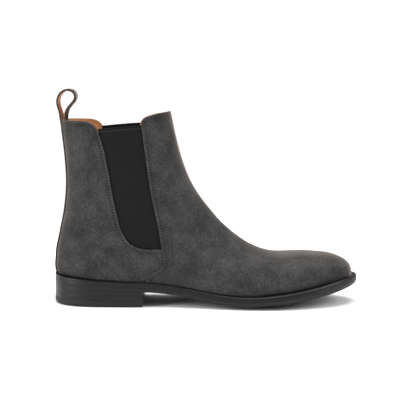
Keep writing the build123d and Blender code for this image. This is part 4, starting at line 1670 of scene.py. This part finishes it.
def floor_finish(colour):
    """Pale paper near the boot that fades into a lit white wall."""
    material, nodes, links = new_material("pale_floor")
    place = nodes.new("ShaderNodeTexCoord")
    place.label = "Place on the floor"
    fibre = nodes.new("ShaderNodeTexNoise")
    fibre.label = "Paper tooth"
    fibre.inputs["Scale"].default_value = 120
    tone = nodes.new("ShaderNodeValToRGB")
    tone.label = "Barely uneven white"
    tone.color_ramp.elements[0].color = [c * 0.985 for c in colour] + [1]
    tone.color_ramp.elements[1].color = [*colour, 1]
    paper = nodes.new("ShaderNodeBsdfPrincipled")
    paper.label = "Paper"
    paper.inputs["Roughness"].default_value = 0.9
    paper.inputs["Specular IOR Level"].default_value = 0.1
    reach = nodes.new("ShaderNodeVectorMath")
    reach.label = "Distance from the boot"
    reach.operation = "LENGTH"
    fade = nodes.new("ShaderNodeMapRange")
    fade.label = "Where the sweep runs into the wall"
    fade.inputs["From Min"].default_value = 0.45
    fade.inputs["From Max"].default_value = 0.90
    wall = nodes.new("ShaderNodeEmission")
    wall.label = "Lit white wall"
    wall.inputs["Strength"].default_value = WALL_WHITE
    sweep = nodes.new("ShaderNodeMixShader")
    sweep.label = "Paper near, wall far"
    output = nodes.new("ShaderNodeOutputMaterial")
    output.label = "Floor surface"
    links.new(place.outputs["Object"], fibre.inputs["Vector"])
    links.new(place.outputs["Object"], reach.inputs[0])
    links.new(fibre.outputs["Fac"], tone.inputs["Fac"])
    links.new(tone.outputs["Color"], paper.inputs["Base Color"])
    links.new(reach.outputs["Value"], fade.inputs["Value"])
    links.new(fade.outputs["Result"], sweep.inputs["Fac"])
    links.new(paper.outputs["BSDF"], sweep.inputs[1])
    links.new(wall.outputs["Emission"], sweep.inputs[2])
    links.new(sweep.outputs["Shader"], output.inputs["Surface"])
    arrange(nodes, [("Paper", (place, fibre, tone, paper)), ("White wall", (reach, fade, wall)),
                    ("Surface", (sweep, output))])
    return material


class BootStage(bpy.types.PropertyGroup):
    """Lights, room and floor."""
    key_power: FloatProperty(name="Key light", description="Power of the large soft light above",
                             default=31, min=0, unit="POWER")
    side_power: FloatProperty(name="Side lights", description="Power of the two side lights",
                              default=15, min=0, unit="POWER")
    sky: FloatProperty(name="Room light", description="Strength of the even white room",
                       default=0.56, min=0)
    floor_colour: colour_prop("Floor", "Colour of the floor", (0.93, 0.93, 0.93))


class BOOT_OT_stage(bpy.types.Operator):
    """Pale floor, soft lights and the camera"""
    bl_idname = "boot.stage"
    bl_label = "Stage"

    def execute(self, context):
        stage = context.scene.boot_stage
        bpy.ops.object.select_all(action="DESELECT")
        bpy.ops.mesh.primitive_plane_add(size=8, location=(0, 0, 0))
        floor = context.object
        floor.name = "floor"
        floor.data.materials.append(floor_finish(stage.floor_colour))
        lights = (("key_light", (0.12, 0.06, 1.50), (1.4, 1.2), stage.key_power),
                  ("heel_light", (-1.10, -0.70, 0.50), (0.5, 0.9), stage.side_power),
                  ("toe_light", (1.20, -0.40, 0.70), (0.7, 0.7), stage.side_power * 0.6))
        for name, place, (wide, tall), power in lights:
            bpy.ops.object.light_add(type="AREA", location=place)
            light = context.object
            light.name = name
            light.data.shape = "RECTANGLE"
            light.data.size, light.data.size_y = wide, tall
            light.data.energy = power
            aim = Vector((0.10, 0, 0.08)) - Vector(place)
            light.rotation_euler = aim.to_track_quat("-Z", "Y").to_euler()
        world = bpy.data.worlds.new("white_room")
        world.use_nodes = True
        nodes, links = world.node_tree.nodes, world.node_tree.links
        room = nodes["Background"]
        room.label = "Light of the white room"
        room.inputs["Color"].default_value = (1, 1, 1, 1)
        direction = nodes.new("ShaderNodeTexCoord")
        direction.label = "Direction in the room"
        height = nodes.new("ShaderNodeSeparateXYZ")
        height.label = "Height in the room"
        dimmed = nodes.new("ShaderNodeMapRange")
        dimmed.label = "Dimmer towards the floor"
        dimmed.inputs["From Max"].default_value = 0.55
        dimmed.inputs["To Min"].default_value = stage.sky * 0.30
        dimmed.inputs["To Max"].default_value = stage.sky
        wall = nodes.new("ShaderNodeBackground")
        wall.label = "White wall behind"
        wall.inputs["Strength"].default_value = WALL_WHITE
        wall.inputs["Color"].default_value = (1, 1, 1, 1)
        ray = nodes.new("ShaderNodeLightPath")
        ray.label = "Seen directly"
        mix = nodes.new("ShaderNodeMixShader")
        mix.label = "Wall or light"
        links.new(direction.outputs["Generated"], height.inputs["Vector"])
        links.new(height.outputs["Z"], dimmed.inputs["Value"])
        links.new(dimmed.outputs["Result"], room.inputs["Strength"])
        links.new(ray.outputs["Is Camera Ray"], mix.inputs["Fac"])
        links.new(room.outputs["Background"], mix.inputs[1])
        links.new(wall.outputs["Background"], mix.inputs[2])
        links.new(mix.outputs["Shader"], nodes["World Output"].inputs["Surface"])
        chain = (direction, height, dimmed, room, ray, wall, mix, nodes["World Output"])
        for step, node in enumerate(chain):
            node.location = (step * 220, 0)
        context.scene.world = world
        context.scene.view_settings.view_transform = "Standard"
        bpy.ops.object.camera_add(location=CAMERA_PLACE,
                                  rotation=(math.radians(90 - CAMERA_DOWN), 0, 0))
        camera = context.object
        camera.name = "camera"
        camera.data.lens = CAMERA_LENS
        context.scene.camera = camera
        return {"FINISHED"}


OPERATORS = (BOOT_OT_vamp, BOOT_OT_quarters, BOOT_OT_gores, BOOT_OT_back_strap, BOOT_OT_pull_loop,
             BOOT_OT_welt, BOOT_OT_outsole, BOOT_OT_heel, BOOT_OT_footbed, BOOT_OT_stitching,
             BOOT_OT_hidden_parts, BOOT_OT_stage)


class BOOT_PT_panel(bpy.types.Panel):
    """Lists the boot's pieces in the sidebar"""
    bl_idname = "BOOT_PT_panel"
    bl_label = "Chelsea boot"
    bl_space_type = "VIEW_3D"
    bl_region_type = "UI"
    bl_category = "Boot"

    def draw(self, context):
        for group in (context.scene.boot_sizes, context.scene.boot_finish, context.scene.boot_stage):
            for key in group.__annotations__:
                self.layout.prop(group, key)
        for operator in OPERATORS:
            self.layout.operator(operator.bl_idname)


CLASSES = (BootSizes, BootFinish, BootStage, *OPERATORS, BOOT_PT_panel)


def register():
    for cls in CLASSES:
        bpy.utils.register_class(cls)
    bpy.types.Scene.boot_sizes = PointerProperty(type=BootSizes)
    bpy.types.Scene.boot_finish = PointerProperty(type=BootFinish)
    bpy.types.Scene.boot_stage = PointerProperty(type=BootStage)


def unregister():
    del bpy.types.Scene.boot_sizes, bpy.types.Scene.boot_finish, bpy.types.Scene.boot_stage
    for cls in reversed(CLASSES):
        bpy.utils.unregister_class(cls)


def main():
    register()
    bpy.ops.boot.vamp()
    bpy.ops.boot.quarters()
    bpy.ops.boot.gores()
    bpy.ops.boot.back_strap()
    bpy.ops.boot.pull_loop()
    bpy.ops.boot.welt()
    bpy.ops.boot.outsole()
    bpy.ops.boot.heel()
    bpy.ops.boot.footbed()
    bpy.ops.boot.stitching()
    bpy.ops.boot.hidden_parts()
    bpy.ops.boot.stage()


if __name__ == "__main__":
    main()
